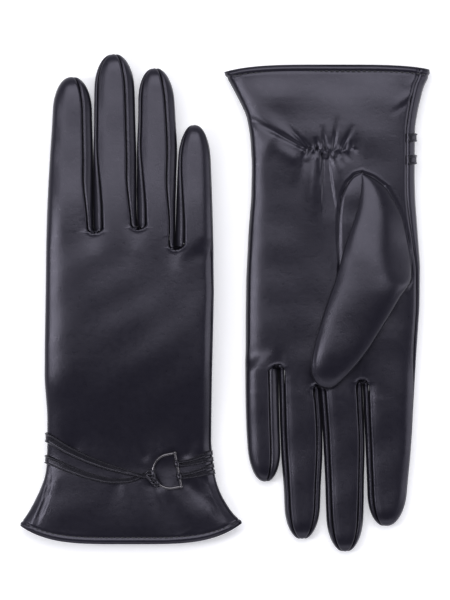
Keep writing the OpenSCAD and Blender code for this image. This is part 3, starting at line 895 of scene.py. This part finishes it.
def knit(name, colour):
    """Fine knitted lining with rows of loops and a soft nap."""
    s = Shader(bpy.data.materials.new(name))
    where = s.attribute("rest", 1)
    rows = s.add("ShaderNodeTexWave", {"bands_direction": "Y"},
                 {"Vector": where, "Scale": 0.5, "Distortion": 1.5, "Detail": 2.0})
    ribs = s.add("ShaderNodeTexWave", {"bands_direction": "X"},
                 {"Vector": where, "Scale": 0.42, "Distortion": 1.0, "Detail": 1.0}, 1)
    fuzz = s.noise(where, 2.5, 4.0, 0.7)
    height = rows * 0.5 + ribs * 0.4 + fuzz * 0.5
    return s.finish(
        Base_Color=s.blend(height * 0.8, tint(colour, 0.6), tint(colour, 1.5)),
        Roughness=0.85 + fuzz * 0.1,
        Normal=s.bump(height, 0.0002, 0.6),
        Sheen_Weight=0.4,
        Sheen_Roughness=0.5,
    )


def metal(name, colour):
    """Polished dark plating, rubbed a little brighter and finely scratched."""
    s = Shader(bpy.data.materials.new(name))
    where = s.add("ShaderNodeTexCoord", {}, {}, 3)
    smear = s.noise(where, 300.0, 4.0, 0.6)
    scratch = s.noise(s.add("ShaderNodeMapping", {}, {"Vector": where, "Scale": (400.0, 4000.0, 400.0)}), 1.0, 3.0,
                      0.6)
    return s.finish(
        Base_Color=s.blend(smear * 0.8, tint(colour, 0.8), tint(colour, 1.4)),
        Metallic=1.0,
        Roughness=0.13 + smear * 0.08 + scratch * 0.05,
        Normal=s.bump(scratch, 0.000004, 0.2),
    )


def thread(name, colour):
    """Twisted sewing thread."""
    s = Shader(bpy.data.materials.new(name))
    where = s.attribute("rest", 1)
    twist = s.add("ShaderNodeTexWave", {"bands_direction": "DIAGONAL"},
                  {"Vector": where, "Scale": 1.6, "Distortion": 0.5}, 1)
    return s.finish(
        Base_Color=s.blend(twist, tint(colour, 0.6), tint(colour, 1.4)),
        Roughness=0.6 + twist * 0.15,
        Normal=s.bump(twist, 0.00006, 0.7),
        Sheen_Weight=0.15,
    )


MADE = {}


def looks():
    """Makes each material once and gives them all by name."""
    c = bpy.context.scene.glove_colours
    makers = {
        "nappa": lambda: leather("nappa", c.leather, 0.28, 0.000035),
        "side_nappa": lambda: leather("side_nappa", tint(c.leather, 0.8), 0.3, 0.00005),
        "strap_nappa": lambda: leather("strap_nappa", c.strap, 0.26, 0.00003),
        "lining_knit": lambda: knit("lining_knit", c.lining),
        "gunmetal": lambda: metal("polished_gunmetal", c.metal),
        "thread": lambda: thread("sewing_thread", c.thread),
    }
    for name, make in makers.items():
        if name not in MADE:
            MADE[name] = make()
    return MADE


# ---- Sizes and colours ----


def length_property(name, description, default, low, high):
    """A length in metres, given here in millimetres."""
    return FloatProperty(name=name, description=description, default=default * MM, min=low * MM, max=high * MM,
                         subtype="DISTANCE", unit="LENGTH", precision=5)


class GloveSizes(bpy.types.PropertyGroup):
    leather: length_property("Leather", "Thickness of the leather", 0.85, 0.6, 1.0)
    lining: length_property("Lining", "Thickness of the lining", 0.5, 0.3, 0.6)
    seam_depth: length_property("Seam depth", "How far the leather turns in at its seams", 0.62, 0.2, 0.9)
    fold_depth: FloatProperty(name="Folds", description="Strength of the folds and the gather", default=1.0,
                              min=0.0, max=1.5, subtype="FACTOR")
    stitch: length_property("Stitch", "Length of one stitch", 2.0, 1.0, 4.0)


def colour_property(name, description, default):
    return FloatVectorProperty(name=name, description=description, subtype="COLOR", size=3, default=default, min=0,
                               max=1)


class GloveColours(bpy.types.PropertyGroup):
    leather: colour_property("Leather", "Colour of the gloves' leather", (0.0052, 0.0047, 0.0085))
    strap: colour_property("Strap", "Colour of the straps' leather", (0.0022, 0.0021, 0.003))
    lining: colour_property("Lining", "Colour of the knitted lining", (0.035, 0.032, 0.036))
    metal: colour_property("D-ring", "Colour of the D-ring's plating", (0.11, 0.105, 0.115))
    thread: colour_property("Thread", "Colour of the stitching", (0.02, 0.02, 0.024))
    floor: colour_property("Floor", "Colour of the floor", (0.93, 0.93, 0.95))


# ---- Operators ----


class GLOVE_OT_leather(bpy.types.Operator):
    """Build the leather of the hands and the fingers"""

    bl_idname = "glove.leather"
    bl_label = "Hand and finger leather"

    def execute(self, context):
        look, sizes = looks(), context.scene.glove_sizes
        for hand in SIDES:
            glove = Glove(hand)
            for face, word in ((BACK, "back"), (PALM, "palm")):
                net = dressed_face(glove, face)
                panel = shell(net, "hand", f"{hand}_{word}_leather", sizes.leather / MM, look["nappa"])
                settle(panel, f"{hand}_{word}_panel", f"{hand}_hand")
                for finger in FINGERS:
                    strip = shell(net, finger, f"{hand}_{finger}_{word}_strip", sizes.leather / MM, look["nappa"])
                    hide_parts(f"{hand}_{finger}_finger_{word}")
                    bend_at_crease(strip, glove, finger)
            for finger in FINGERS:
                wall = side_walls(glove, finger, look["side_nappa"])
                bend_at_crease(wall, glove, finger)
        return {"FINISHED"}


class GLOVE_OT_thumb(bpy.types.Operator):
    """Build the folded thumbs and the gussets they grow from"""

    bl_idname = "glove.thumb"
    bl_label = "Thumbs"

    def rings(self, glove, shrink=0.0, start=0.0):
        table = np.array(THUMB, float)
        at = np.linspace(start, len(table) - 1, 90)
        rows = np.stack([soften(np.c_[np.arange(len(table)), table[:, k]], at, 0.3) for k in range(5)], -1)
        s = (1 - np.cos(np.linspace(0, math.pi, 27))) / 2
        rings = []
        for r, (lu, lv, ru, rv, thick) in zip(at, rows):
            free = ease((r - 5.6) / 4.6)
            round_all = np.clip(1 - np.abs(2 * s - 1) ** 2.3, 0, None) ** (1 / 2.3)
            round_inner = np.clip(1 - np.clip((s - 0.6) / 0.4, 0, 1) ** 2.3, 0, None) ** (1 / 2.3)
            top_gusset = np.where(s < 0.6, 1 - np.clip(1 - s / 0.6, 0, 1) ** 2, 0.5 + 0.5 * round_inner)
            low_gusset = np.where(s > 0.6, 0.5 - 0.5 * round_inner, 0)
            top = mix(top_gusset, 0.5 + 0.5 * round_all, free) * thick
            low = mix(low_gusset, 0.5 - 0.5 * round_all, free) * thick
            u, v = mix(ru, lu, s), mix(rv, lv, s)
            mid = (top + low) / 2
            h_top = mid + np.clip((top - low) / 2 - shrink, 0.02, None)
            h_low = mid - np.clip((top - low) / 2 - shrink, 0.02, None)
            width = max(math.hypot(ru - lu, rv - lv), 0.1)
            pull = np.clip((s - 0.5) * 2 * shrink / (width / 2), -0.45, 0.45)
            u, v = u - pull * (lu - ru) / 2, v - pull * (lv - rv) / 2
            base = glove.height(u, v) + 0.3 * free
            upper = np.stack([u, v, -(base + h_top)], -1)
            lower = np.stack([u, v, -(base + h_low)], -1)[-2:0:-1]
            rings.append(np.concatenate([upper, lower]))
        return np.array(rings)

    def execute(self, context):
        look = looks()
        for hand in SIDES:
            glove = Glove(hand)
            own = self.rings(glove)
            net = welded(glove, closed(own), "thumb")
            u, v = net.own[:, 0], net.own[:, 1]
            on_arc = arc_distance(u, v, OUTER_ARC)
            edge = np.exp(-(on_arc / 0.6) ** 2) * (v < 109)
            soft = 0.22 * waves(u, v, 81 + glove.side, 17)
            net.push(soft * ease((v - 60) / 12) - 0.45 * edge)
            tip_seam = [(-7.5, 92), (-2.2, 108), (3.2, 122.5), (7.4, 136.5), (9.4, 146), (9.6, 152.5), (7.9, 157.2),
                        (4, 160.4)]
            seam_d = arc_distance(u, v, tip_seam)
            upper = ease((-net.own[:, 2] - glove.height(u, v) - 4.4) / 0.8)
            net.push(-0.34 * np.exp(-(seam_d / 0.4) ** 2) * upper * ease((v - 128) / 10))
            obj = self.piece(net, f"{hand}_thumb_leather", look["nappa"],
                             np.exp(-(np.minimum(on_arc, seam_d + 0.4) / 1.0) ** 2))
            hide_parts(f"{hand}_thumb_sleeve")
            self.hinge(obj, glove)
            own = self.rings(glove, 1.1, 8.6)
            net = welded(glove, closed(own), "thumb")
            obj = self.piece(net, f"{hand}_thumb_knit", look["lining_knit"], np.zeros(len(net.own)))
            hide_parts(f"{hand}_thumb_lining")
            self.hinge(obj, glove)
            self.gusset(glove, look)
        return {"FINISHED"}

    def piece(self, net, name, material, seam):
        """A closed skin: the thumb's two ends come to nearly nothing and are capped."""
        faces = [list(dict.fromkeys(q)) for q in net.quads.tolist()]
        faces = [f for f in faces if len(f) > 2]
        edges = np.concatenate([net.quads[:, [k, (k + 1) % 4]] for k in range(4)])
        rim = border(edges)
        after = {int(b): int(a) for a, b in rim}
        while after:
            first, nxt = after.popitem()
            loop = [first]
            while nxt != first:
                loop.append(nxt)
                nxt = after.pop(nxt)
            faces.append(loop)
        obj = make_object(name, net.points, faces, material)
        keep_rest(obj, net.own, seam)
        return obj

    def hinge(self, obj, glove):
        corner, inner = np.array([-37.2, 110.0]), np.array([-3.9, 99.6])
        mid, along = (corner + inner) / 2, (inner - corner) / np.linalg.norm(inner - corner)
        ahead = np.array([-along[1], along[0]])
        bend(obj, glove, mid + ahead * 1.0, mid + ahead * 17.0)

    def gusset(self, glove, look):
        """The leather between the inner arc seam and the thumb's fold."""
        inner, outer = np.array(INNER_ARC), np.array(OUTER_ARC)
        t = np.linspace(0, 1, 45)

        def along(line):
            run = np.r_[0, np.cumsum(np.hypot(*np.diff(line, axis=0).T))]
            return np.stack([soften(np.c_[run / run[-1], line[:, k]], t, 0.06) for k in (0, 1)], -1)

        a, b = along(inner), along(outer)
        s = np.linspace(0, 1, 21)
        plan = mix(a[:, None], b[:, None], 0.7 * s[None, :, None])
        u, v = plan[..., 0], plan[..., 1]
        swell = np.sin(math.pi * np.clip(s, 0, 1)) ** 0.7
        lift = 0.04 + 1.1 * swell[None, :] * np.sin(math.pi * np.clip(t, 0.02, 0.85) / 0.9)[:, None] ** 0.6
        own = np.stack([u, v, -(glove.height(u, v) + lift)], -1)
        net = welded(glove, own, "gusset", True, [(slice(None), 0)])
        net.push(groove(net.away_from_seams(), 0.45, 0.5) + 0.15 * waves(net.own[:, 0], net.own[:, 1], 91, 9))
        obj = shell(net, "gusset", f"{glove.hand}_gusset_leather", 0.5, look["nappa"])
        settle(obj, f"{glove.hand}_thumb_gusset", f"{glove.hand}_hand")


class GLOVE_OT_cuff(bpy.types.Operator):
    """Build the cuffs' turned hems and their stitching"""

    bl_idname = "glove.cuff"
    bl_label = "Cuff hems and stitching"

    def execute(self, context):
        look, sizes = looks(), context.scene.glove_sizes
        for hand in SIDES:
            glove = Glove(hand)
            self.hem(glove, look)
            self.stitches(glove, look, sizes.stitch / MM)
        return {"FINISHED"}

    def ring(self, glove, v, off, count=70):
        x = np.cos(np.linspace(0, math.pi, count))
        x = spow(x, 0.75)
        back = glove.skin(x, np.full(count, v), BACK, off)
        palm = glove.skin(x[::-1], np.full(count, v), PALM, off)
        return np.concatenate([back[:-1], palm[:-1]])

    def hem(self, glove, look):
        """Leather turned in over the cuff's edge, with a rounded fold."""
        path = [(5.2, -1.0), (5.2, -1.45), (3, -1.45), (1, -1.45), (0.2, -1.35), (-0.15, -1.1), (-0.3, -0.75),
                (-0.3, -0.35),
                (-0.15, -0.1), (0.1, -0.15), (0.1, -0.8), (1, -1.0), (3, -1.0)]
        rings = np.stack([self.ring(glove, v, off) for v, off in path + path[:1]])
        net = welded(glove, closed(rings), "hem")
        obj = make_object(f"{glove.hand}_hem_leather", net.points, net.quads, look["side_nappa"])
        # A seam value of 0.3 lies in the material's highlight band, so the whole hem gets a faint painted highlight.
        keep_rest(obj, net.own, np.full(len(net.own), 0.3))
        settle(obj, f"{glove.hand}_cuff_hem", f"{glove.hand}_hand")

    def stitches(self, glove, look, length):
        """A row of stitches round the cuff, each a small rounded bar of thread."""
        verts, faces = [], []
        for face in (BACK, PALM):
            x = np.linspace(-0.97, 0.97, 400)
            line = glove.skin(x, np.full(400, 3.0), face, -0.1)
            run = np.r_[0, np.cumsum(np.linalg.norm(np.diff(line, axis=0), axis=1))]
            starts = np.arange(0.5, run[-1] - length, length * 1.35)
            for start in starts:
                shares = np.array([0, 0.18, 0.5, 0.82, 1.0])
                mid = np.stack([np.interp(start + shares * length, run, line[:, k]) for k in range(3)], -1)
                lift = np.array([-0.25, 0.12, 0.2, 0.12, -0.25])
                thick = np.array([0.12, 0.24, 0.27, 0.24, 0.12])
                along = (mid[-1] - mid[0]) / np.linalg.norm(mid[-1] - mid[0])
                up = np.array([0, 0, face])
                across = np.cross(along, up)
                first = len(verts)
                for p, h, w in zip(mid, lift, thick):
                    for k in range(6):
                        a = math.pi / 3 * k
                        verts.append(p + up * (h + w * 0.8 * math.sin(a)) + across * w * math.cos(a))
                for i in range(4):
                    for k in range(6):
                        a, b = first + i * 6 + k, first + i * 6 + (k + 1) % 6
                        faces.append([a, b, b + 6, a + 6])
                faces.append([first + k for k in range(5, -1, -1)])
                faces.append([first + 24 + k for k in range(6)])
        own = np.array(verts)
        if glove.side > 0:
            faces = [f[::-1] for f in faces]
        obj = make_object(f"{glove.hand}_hem_stitches", glove.seat(own), faces, look["thread"])
        keep_rest(obj, own, np.zeros(len(own)))
        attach(obj, f"{glove.hand}_hand")


class GLOVE_OT_lining(bpy.types.Operator):
    """Build the knitted linings of the hands and the fingers"""

    bl_idname = "glove.lining"
    bl_label = "Linings"

    def execute(self, context):
        look, sizes = looks(), context.scene.glove_sizes
        for hand in SIDES:
            glove = Glove(hand)
            x = spow(np.cos(np.linspace(0, math.pi, 60)), 0.75)
            rows = np.concatenate([[4.6, 5.0], np.arange(6, 148, 3.0)])
            rings = np.stack([
                np.concatenate([glove.skin(x, np.full(60, v), BACK, -1.9)[:-1],
                                glove.skin(x[::-1], np.full(60, v), PALM, -1.9)[:-1]])
                for v in rows
            ])
            net = welded(glove, closed(rings), "knit")
            drawn = (net.own[:, 2] < 0) * np.exp(-((net.own[:, 1] - 42.5) / 9) ** 2 - ((net.own[:,
                                                                                                0] - 1.5) / 21) ** 4)
            net.push(0.12 * waves(net.own[:, 0], net.own[:, 1], 55, 8) - 2.1 * drawn)
            obj = shell(net, "knit", f"{hand}_hand_knit", sizes.lining / MM, look["lining_knit"], seam=0.0)
            settle(obj, f"{hand}_hand_lining", f"{hand}_hand")
            self.elastic(glove, look)
            for finger in FINGERS:
                tip = glove.shape.fingers[finger][-1][0] - 1.6
                v = np.concatenate([np.arange(JOIN[finger] - 1, tip - 12, 3.0),
                                    tip - 12 * (1 - np.sin(np.linspace(0, math.pi / 2, 8)))])
                own = glove.finger(finger, np.linspace(0, 360, 33)[None, :], v[:, None], BACK, -1.45)
                net = welded(glove, own, "knit")
                obj = shell(net, "knit", f"{hand}_{finger}_knit", 0.4, look["lining_knit"], seam=0.0)
                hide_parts(f"{hand}_{finger}_finger_lining")
                bend_at_crease(obj, glove, finger)
        return {"FINISHED"}

    def elastic(self, glove, look):
        """The stretched tape between leather and lining that gathers the palm's wrist."""
        u = np.linspace(GATHER_B[0] - 1, GATHER_A[0] + 1, 180)
        v = mix(GATHER_B[1], GATHER_A[1], (u - u[0]) / (u[-1] - u[0]))
        turn = np.linspace(0, 2 * math.pi, 20, endpoint=False)
        wide, thick = spow(np.cos(turn), 0.5) * 3.4, spow(np.sin(turn), 0.5) * 0.3
        n = 0.12 * np.sin(u * 4) - 1.15
        rings = np.stack([np.broadcast_to(u[:, None], (180, 20)), v[:, None] + wide, n[:, None] + thick], -1)
        obj = tube(glove.seat(rings), f"{glove.hand}_elastic_tape", look["thread"], own=rings, flip=glove.side < 0)
        settle(obj, f"{glove.hand}_wrist_elastic", f"{glove.hand}_hand")


def ribbon(glove, path, name, material, count=60, thick=1.0, dish=0.0):
    """A folded leather strap along path, a list of (q, v, width, lift), on the hand's back and round its edge."""
    path = np.array(path, float)
    run = np.r_[0, np.cumsum(np.hypot(np.diff(path[:, 0]) * 42, np.diff(path[:, 1])))]
    at = np.linspace(0, run[-1], count)
    q, v, w, lift = (soften(np.c_[run, path[:, k]], at, run[-1] * 0.03) for k in range(4))
    dq = glove.skin(q + 0.01, v, BACK) - glove.skin(q - 0.01, v, BACK)
    dv = glove.skin(q, v + 0.5, BACK) - glove.skin(q, v - 0.5, BACK)
    up = unit(np.cross(dq, dv))
    mid = glove.skin(q, v, BACK) + up * (lift + thick / 2)[:, None]
    across = unit(np.cross(up, np.gradient(mid, axis=0)))
    flat = spow(np.sin(np.linspace(-math.pi / 2, math.pi / 2, 41)), 0.8)
    rim = np.exp(-((np.abs(flat) - 0.78) / 0.17) ** 2)
    tall = np.clip(1 - np.abs(flat) ** 8, 0, None) ** 0.5 * (1 - dish * (1 - rim)) * 2 - 1
    flat, tall = np.r_[flat, flat[::-1][4:-4:4]], np.r_[tall, np.full(9, -1.0)]
    rings = mid[:, None] + across[:, None] * (flat[None, :, None] * w[:, None, None] / 2)
    rings = rings + up[:, None] * (tall[None, :, None] * thick / 2)
    return tube(glove.seat(rings), name, material, own=rings, flip=glove.side > 0)


def unit(a):
    return a / np.maximum(np.linalg.norm(a, axis=-1, keepdims=True), 1e-9)


def cord_rings(path, radius, up, sides=12):
    """Rings of points round a path in the frame."""
    along = unit(np.gradient(path, axis=0))
    across = unit(np.cross(along, np.broadcast_to(up, path.shape)))
    over = np.cross(across, along)
    turn = np.linspace(0, 2 * math.pi, sides, endpoint=False)[None, :, None]
    return path[:, None] + (across[:, None] * np.cos(turn) + over[:, None] * np.sin(turn)) * radius[:, None, None]


def join_meshes(objects, name):
    """Makes one object of several, keeping what each point stores."""
    with bpy.context.temp_override(active_object=objects[0], selected_editable_objects=objects):
        bpy.ops.object.join()
    objects[0].name = name
    return objects[0]


class GLOVE_OT_straps(bpy.types.Operator):
    """Build the wrist straps and the loops that hold the D-ring"""

    bl_idname = "glove.straps"
    bl_label = "Straps"

    def execute(self, context):
        look = looks()
        for hand in SIDES:
            glove = Glove(hand)
            drop = 0 if hand == "right" else STRAP_DROP
            upper = [(-1.1, 53.5, 4.6, 0.2), (-1.03, 53.5, 4.8, 0.6), (-0.985, 53, 4.8, 0.6), (-0.9, 50.6, 4.6, 0.2),
                     (-0.75, 46.9, 4.4, 0.1), (-0.5, 42, 3.9, 0.1), (-0.25, 38.2, 3.2, 0.1), (-0.05, 35.9, 2.5, 0.4),
                     (0.05, 35, 2.1, 0.9), (0.14, 33.9, 2.0, 0.9), (0.2, 33.6, 2.0, 0.7), (0.26, 33.6, 1.8, 0.5)]
            lower = [(-1.1, 42.4, 4.2, 0.2), (-1.03, 42.4, 4.4, 0.6), (-0.985, 42, 4.3, 0.6), (-0.9, 40.4, 4.1, 0.2),
                     (-0.75, 37.8, 3.8, 0.1), (-0.5, 34.0, 3.3, 0.1), (-0.25, 31.4, 2.8, 0.1),
                     (-0.05, 31.4, 2.4, 0.1),
                     (0.05, 32.2, 2.1, 0.1), (0.14, 33.9, 2.0, 0.1), (0.2, 35.2, 2.0, 0.3), (0.26, 35.8, 1.8, 0.5)]
            for word, path in (("upper", upper), ("lower", lower)):
                path = [(q, v - drop * float(ease((-q - 0.35) / 0.55)), w, lift) for q, v, w, lift in path]
                obj = ribbon(glove, path, f"{hand}_{word}_strap_leather", look["strap_nappa"], 120, 1.0, 0.5)
                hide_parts(f"{hand}_{word}_strap")
                bend(obj, glove, (-14.0, 36.0), (9.0, 36.0))
            self.strands(glove, look)
        return {"FINISHED"}

    def strands(self, glove, look):
        """Four narrow straps from the bar's two loops to the little finger's side."""
        made = []
        sink = 0.0 if glove.hand == "right" else -0.6
        for k, (edge_v, bar_v) in enumerate([(45.4, 40.9), (42.2, 39.3), (39.0, 34.6), (35.8, 33.0)]):
            bar_u = RING_U - (bar_v - RING_V) * math.tan(RING_LEAN)
            start = float(glove.place(bar_u + 1.0, bar_v))
            path = [(start, bar_v, 1.5, 0.3), (0.7, mix(bar_v, edge_v, 0.12), 1.4, 0.1),
                    (0.8, mix(bar_v, edge_v, 0.4), 1.7, 0.1),
                    (0.9, mix(bar_v, edge_v, 0.72), 2.0, 0.1), (0.96, mix(bar_v, edge_v, 0.94), 2.3, sink),
                    (1.0, edge_v, 2.4, 2 * sink - 0.2)]
            made.append(ribbon(glove, path, f"{glove.hand}_strand_{k + 1}", look["strap_nappa"], 44, 1.0, 0.3))
        for k, shift in enumerate((-3.2, 3.2)):
            made.append(loop_on_wire(glove, shift, 3.6, f"{glove.hand}_bar_loop_{k + 1}", look["strap_nappa"]))
        for obj in made:
            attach(obj, f"{glove.hand}_hand")
        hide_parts(f"{glove.hand}_d_ring_straps")


def ring_frame(glove):
    """The bar's middle, the bar's direction, the way to the ring's curve, and up, in the frame."""
    at = np.array(JOINTS[f"{glove.hand}_ring_tilt"]["pos_m"]) / MM
    s = glove.side
    bar = np.array([-math.sin(RING_LEAN) * s, math.cos(RING_LEAN) * s, 0])
    curve = np.array([-math.cos(RING_LEAN) * s, -math.sin(RING_LEAN) * s, 0])
    return at, bar, curve, np.array([0, 0, s])


def loop_on_wire(glove, shift, length, name, material):
    """Leather wrapped round the bar, creased where it was pulled tight."""
    at, bar, curve, up = ring_frame(glove)
    rings = []
    for t in np.linspace(-0.5, 0.5, 15):
        edge = 1 - abs(2 * t) ** 4
        turn = np.linspace(0, 2 * math.pi, 28, endpoint=False)
        r = 1.0 + 0.33 * edge ** 0.4 + 0.05 * np.sin(3 * turn + 9 * t)
        centre = at + bar * (shift + t * length)
        rings.append(centre + (curve[None] * np.cos(turn)[:, None] + up[None] * np.sin(turn)[:, None]) * r[:, None])
    return tube(np.array(rings), name, material, seam=0.2, flip=glove.side < 0)


class GLOVE_OT_rings(bpy.types.Operator):
    """Finish the D-rings and wrap the straps' ends over them"""

    bl_idname = "glove.rings"
    bl_label = "D-rings"

    def out(self, glove, degrees):
        """The middle of the ring's curve, and the way out from it at an angle from its far side."""
        at, bar, curve, up = ring_frame(glove)
        a = math.radians(degrees)
        return at + curve * 4.0, curve * math.cos(a) - bar * math.sin(a), up

    def wrap(self, glove, look):
        """The straps' ends wrapped over the ring's curve."""
        rings = []
        turn = np.linspace(0, 2 * math.pi, 28, endpoint=False)[:, None]
        for t in np.linspace(-1, 1, 41):
            centre, out, up = self.out(glove, 28 * t + 13)
            edge = 1 - abs(t) ** 6
            r = 0.95 + 0.28 * edge ** 0.5 + 0.06 * math.sin(9 * t) + 0.05 * np.sin(2 * turn + 6 * t)
            rings.append(centre + out * 8.5 + (out * np.cos(turn) + up * np.sin(turn)) * r)
        return tube(np.array(rings), "wrap", look["strap_nappa"], flip=glove.side > 0)

    def fan(self, glove, look):
        """Pleats of the straps that spread from their crossing and go over the ring."""
        pleats = []
        for k, degrees in enumerate((-12, -2, 8, 18, 28, 38)):
            centre, out, up = self.out(glove, degrees)
            u, v = 8.2 + 0.3 * (k % 2), 33.6 + 0.32 * (5 - k)
            knot = glove.seat(np.array([u, v, glove.height(u, v) + 0.7]))
            outer, over, inner = centre + out * 9.55, centre + out * 8.6 + up * 0.72, centre + out * 7.75 + up * 0.35
            low = centre + out * 10.6 - up * 0.4
            points = np.array([knot, mix(knot, low, 0.5), low, outer + up * 0.35, over, inner, inner - up * 0.5])
            t = np.linspace(0, 6, 40)
            path = np.stack([soften(np.c_[np.arange(7), points[:, c]], t, 0.6) for c in range(3)], -1)
            radius = soften([(0, 0.5), (1.5, 0.62), (3, 0.6), (5, 0.55), (6, 0.3)], t, 0.3)
            pleats.append(tube(cord_rings(path, radius, up), "pleat", look["strap_nappa"], flip=True))
        return pleats

    def wire(self, glove, look):
        """The ring itself: a curved wire, its straight bar, and a bead where they meet."""
        at, bar, curve, up = ring_frame(glove)
        turn = np.linspace(-math.pi / 2, math.pi / 2, 72)[:, None]
        bow = at + curve * 4.0 + (curve * np.cos(turn) + bar * np.sin(turn)) * 8.5
        path = np.concatenate([at - bar * 8.5 + curve * np.linspace(0, 3.6, 10)[:, None], bow,
                               at + bar * 8.5 + curve * np.linspace(3.6, 0, 10)[:, None]])
        hoop = tube(cord_rings(path, np.full(len(path), 0.7), up, 24), "hoop", look["gunmetal"], flip=True)
        s = 9.55 * np.sin(np.linspace(-math.pi / 2, math.pi / 2, 120))
        bead = np.sqrt(np.clip(1.05 ** 2 - (np.abs(s) - 8.5) ** 2, 0, None))
        radius = np.where(np.abs(s) > 9.3, np.maximum(bead, 0.02), np.maximum(bead, 0.68))
        rod = tube(cord_rings(at + bar * s[:, None], radius, up, 24), "rod", look["gunmetal"], flip=True)
        return join_meshes([hoop, rod], f"{glove.hand}_ring_wire")

    def execute(self, context):
        look = looks()
        for hand in SIDES:
            glove = Glove(hand)
            metal_ring = self.wire(glove, look)
            settle(metal_ring, f"{hand}_d_ring", f"{hand}_ring")
            wrap = join_meshes([self.wrap(glove, look), *self.fan(glove, look)], f"{hand}_ring_wrap_leather")
            settle(wrap, f"{hand}_d_ring_wrap", f"{hand}_ring")
        return {"FINISHED"}


class GLOVE_OT_stage(bpy.types.Operator):
    """Set up the floor, the studio lights and the camera above the gloves"""

    bl_idname = "glove.stage"
    bl_label = "Stage"

    def execute(self, context):
        scene = context.scene
        s = Shader(bpy.data.materials.new("pale_floor"))
        colour = scene.glove_colours.floor
        tone = s.noise(s.add("ShaderNodeTexCoord", {}, {}, 3), 6.0)
        s.finish(Base_Color=s.blend(tone, tint(colour, 0.99), tint(colour, 1.0)), Roughness=0.9,
                 Specular_IOR_Level=0.1,
                 Emission_Color=(0.96, 0.965, 1.0, 1.0), Emission_Strength=0.3)
        size = 3000.0
        floor = make_object("floor", [(-size, -size, -0.05), (size, -size, -0.05), (size, size, -0.05),
                                      (-size, size, -0.05)],
                            [(0, 1, 2, 3)], s.owner)
        self.sky(scene)
        self.lamp("overhead", (0.0, 1.02, 2.0), (1.8, 1.6), 32, flat=True)
        self.lamp("front_box", (0.0, -1.5, 0.9), (2.2, 0.7), 4)
        self.lamp("left_box", (-1.0, 0.0, 1.3), (0.3, 0.9), 8)
        self.lamp("right_box", (1.4, 0.0, 0.6), (0.5, 1.2), 4)
        camera = bpy.data.cameras.new("camera")
        camera.sensor_width = 36.0
        camera.lens = 288.0
        camera.clip_end = 20
        eye = bpy.data.objects.new("camera", camera)
        eye.location = (0.0005, 0.0015, 2.408)
        scene.collection.objects.link(eye)
        scene.camera = eye
        scene.view_settings.view_transform = "Standard"
        return {"FINISHED"}

    def sky(self, scene):
        """Light from all round that is brighter low down than overhead."""
        s = Shader(bpy.data.worlds.new("studio"), "Background")
        height = s.add("ShaderNodeSeparateXYZ", {}, {0: s.add("ShaderNodeTexCoord")}, 2)
        stops = [(0.0, (0.85, 0.85, 0.9, 1)), (1.0, (0.1, 0.1, 0.125, 1)), (0.78, (0.2, 0.2, 0.235, 1))]
        scene.world = s.finish(Color=s.add("ShaderNodeValToRGB", {"stops": stops}, {0: height}), Strength=1.0)

    def lamp(self, name, place, size, power, flat=False):
        light = bpy.data.lights.new(name, "AREA")
        light.shape, light.size, light.size_y, light.energy = "RECTANGLE", size[0], size[1], power
        obj = bpy.data.objects.new(name, light)
        obj.location = place
        if not flat:
            aim = -np.array(place)
            obj.rotation_euler = (math.atan2(math.hypot(aim[0], aim[1]), -aim[2]), 0,
                                  math.atan2(aim[1], aim[0]) - math.pi / 2)
        bpy.context.scene.collection.objects.link(obj)


OPERATORS = (GLOVE_OT_leather, GLOVE_OT_thumb, GLOVE_OT_cuff, GLOVE_OT_lining, GLOVE_OT_straps, GLOVE_OT_rings,
             GLOVE_OT_stage)


class GLOVE_PT_panel(bpy.types.Panel):
    """Sizes, colours and pieces of the gloves"""

    bl_idname = "GLOVE_PT_panel"
    bl_label = "Gloves"
    bl_space_type = "VIEW_3D"
    bl_region_type = "UI"
    bl_category = "Gloves"

    def draw(self, context):
        for group in (context.scene.glove_sizes, context.scene.glove_colours):
            for key in group.__annotations__:
                self.layout.prop(group, key)
        for operator in OPERATORS:
            self.layout.operator(operator.bl_idname)


CLASSES = (GloveSizes, GloveColours, *OPERATORS, GLOVE_PT_panel)


def register():
    for cls in CLASSES:
        bpy.utils.register_class(cls)
    bpy.types.Scene.glove_sizes = PointerProperty(type=GloveSizes)
    bpy.types.Scene.glove_colours = PointerProperty(type=GloveColours)


def unregister():
    del bpy.types.Scene.glove_colours
    del bpy.types.Scene.glove_sizes
    for cls in reversed(CLASSES):
        bpy.utils.unregister_class(cls)


def main():
    register()
    for operator in OPERATORS:
        name = operator.bl_idname.split(".")[1]
        getattr(bpy.ops.glove, name)()


if __name__ == "__main__":
    main()
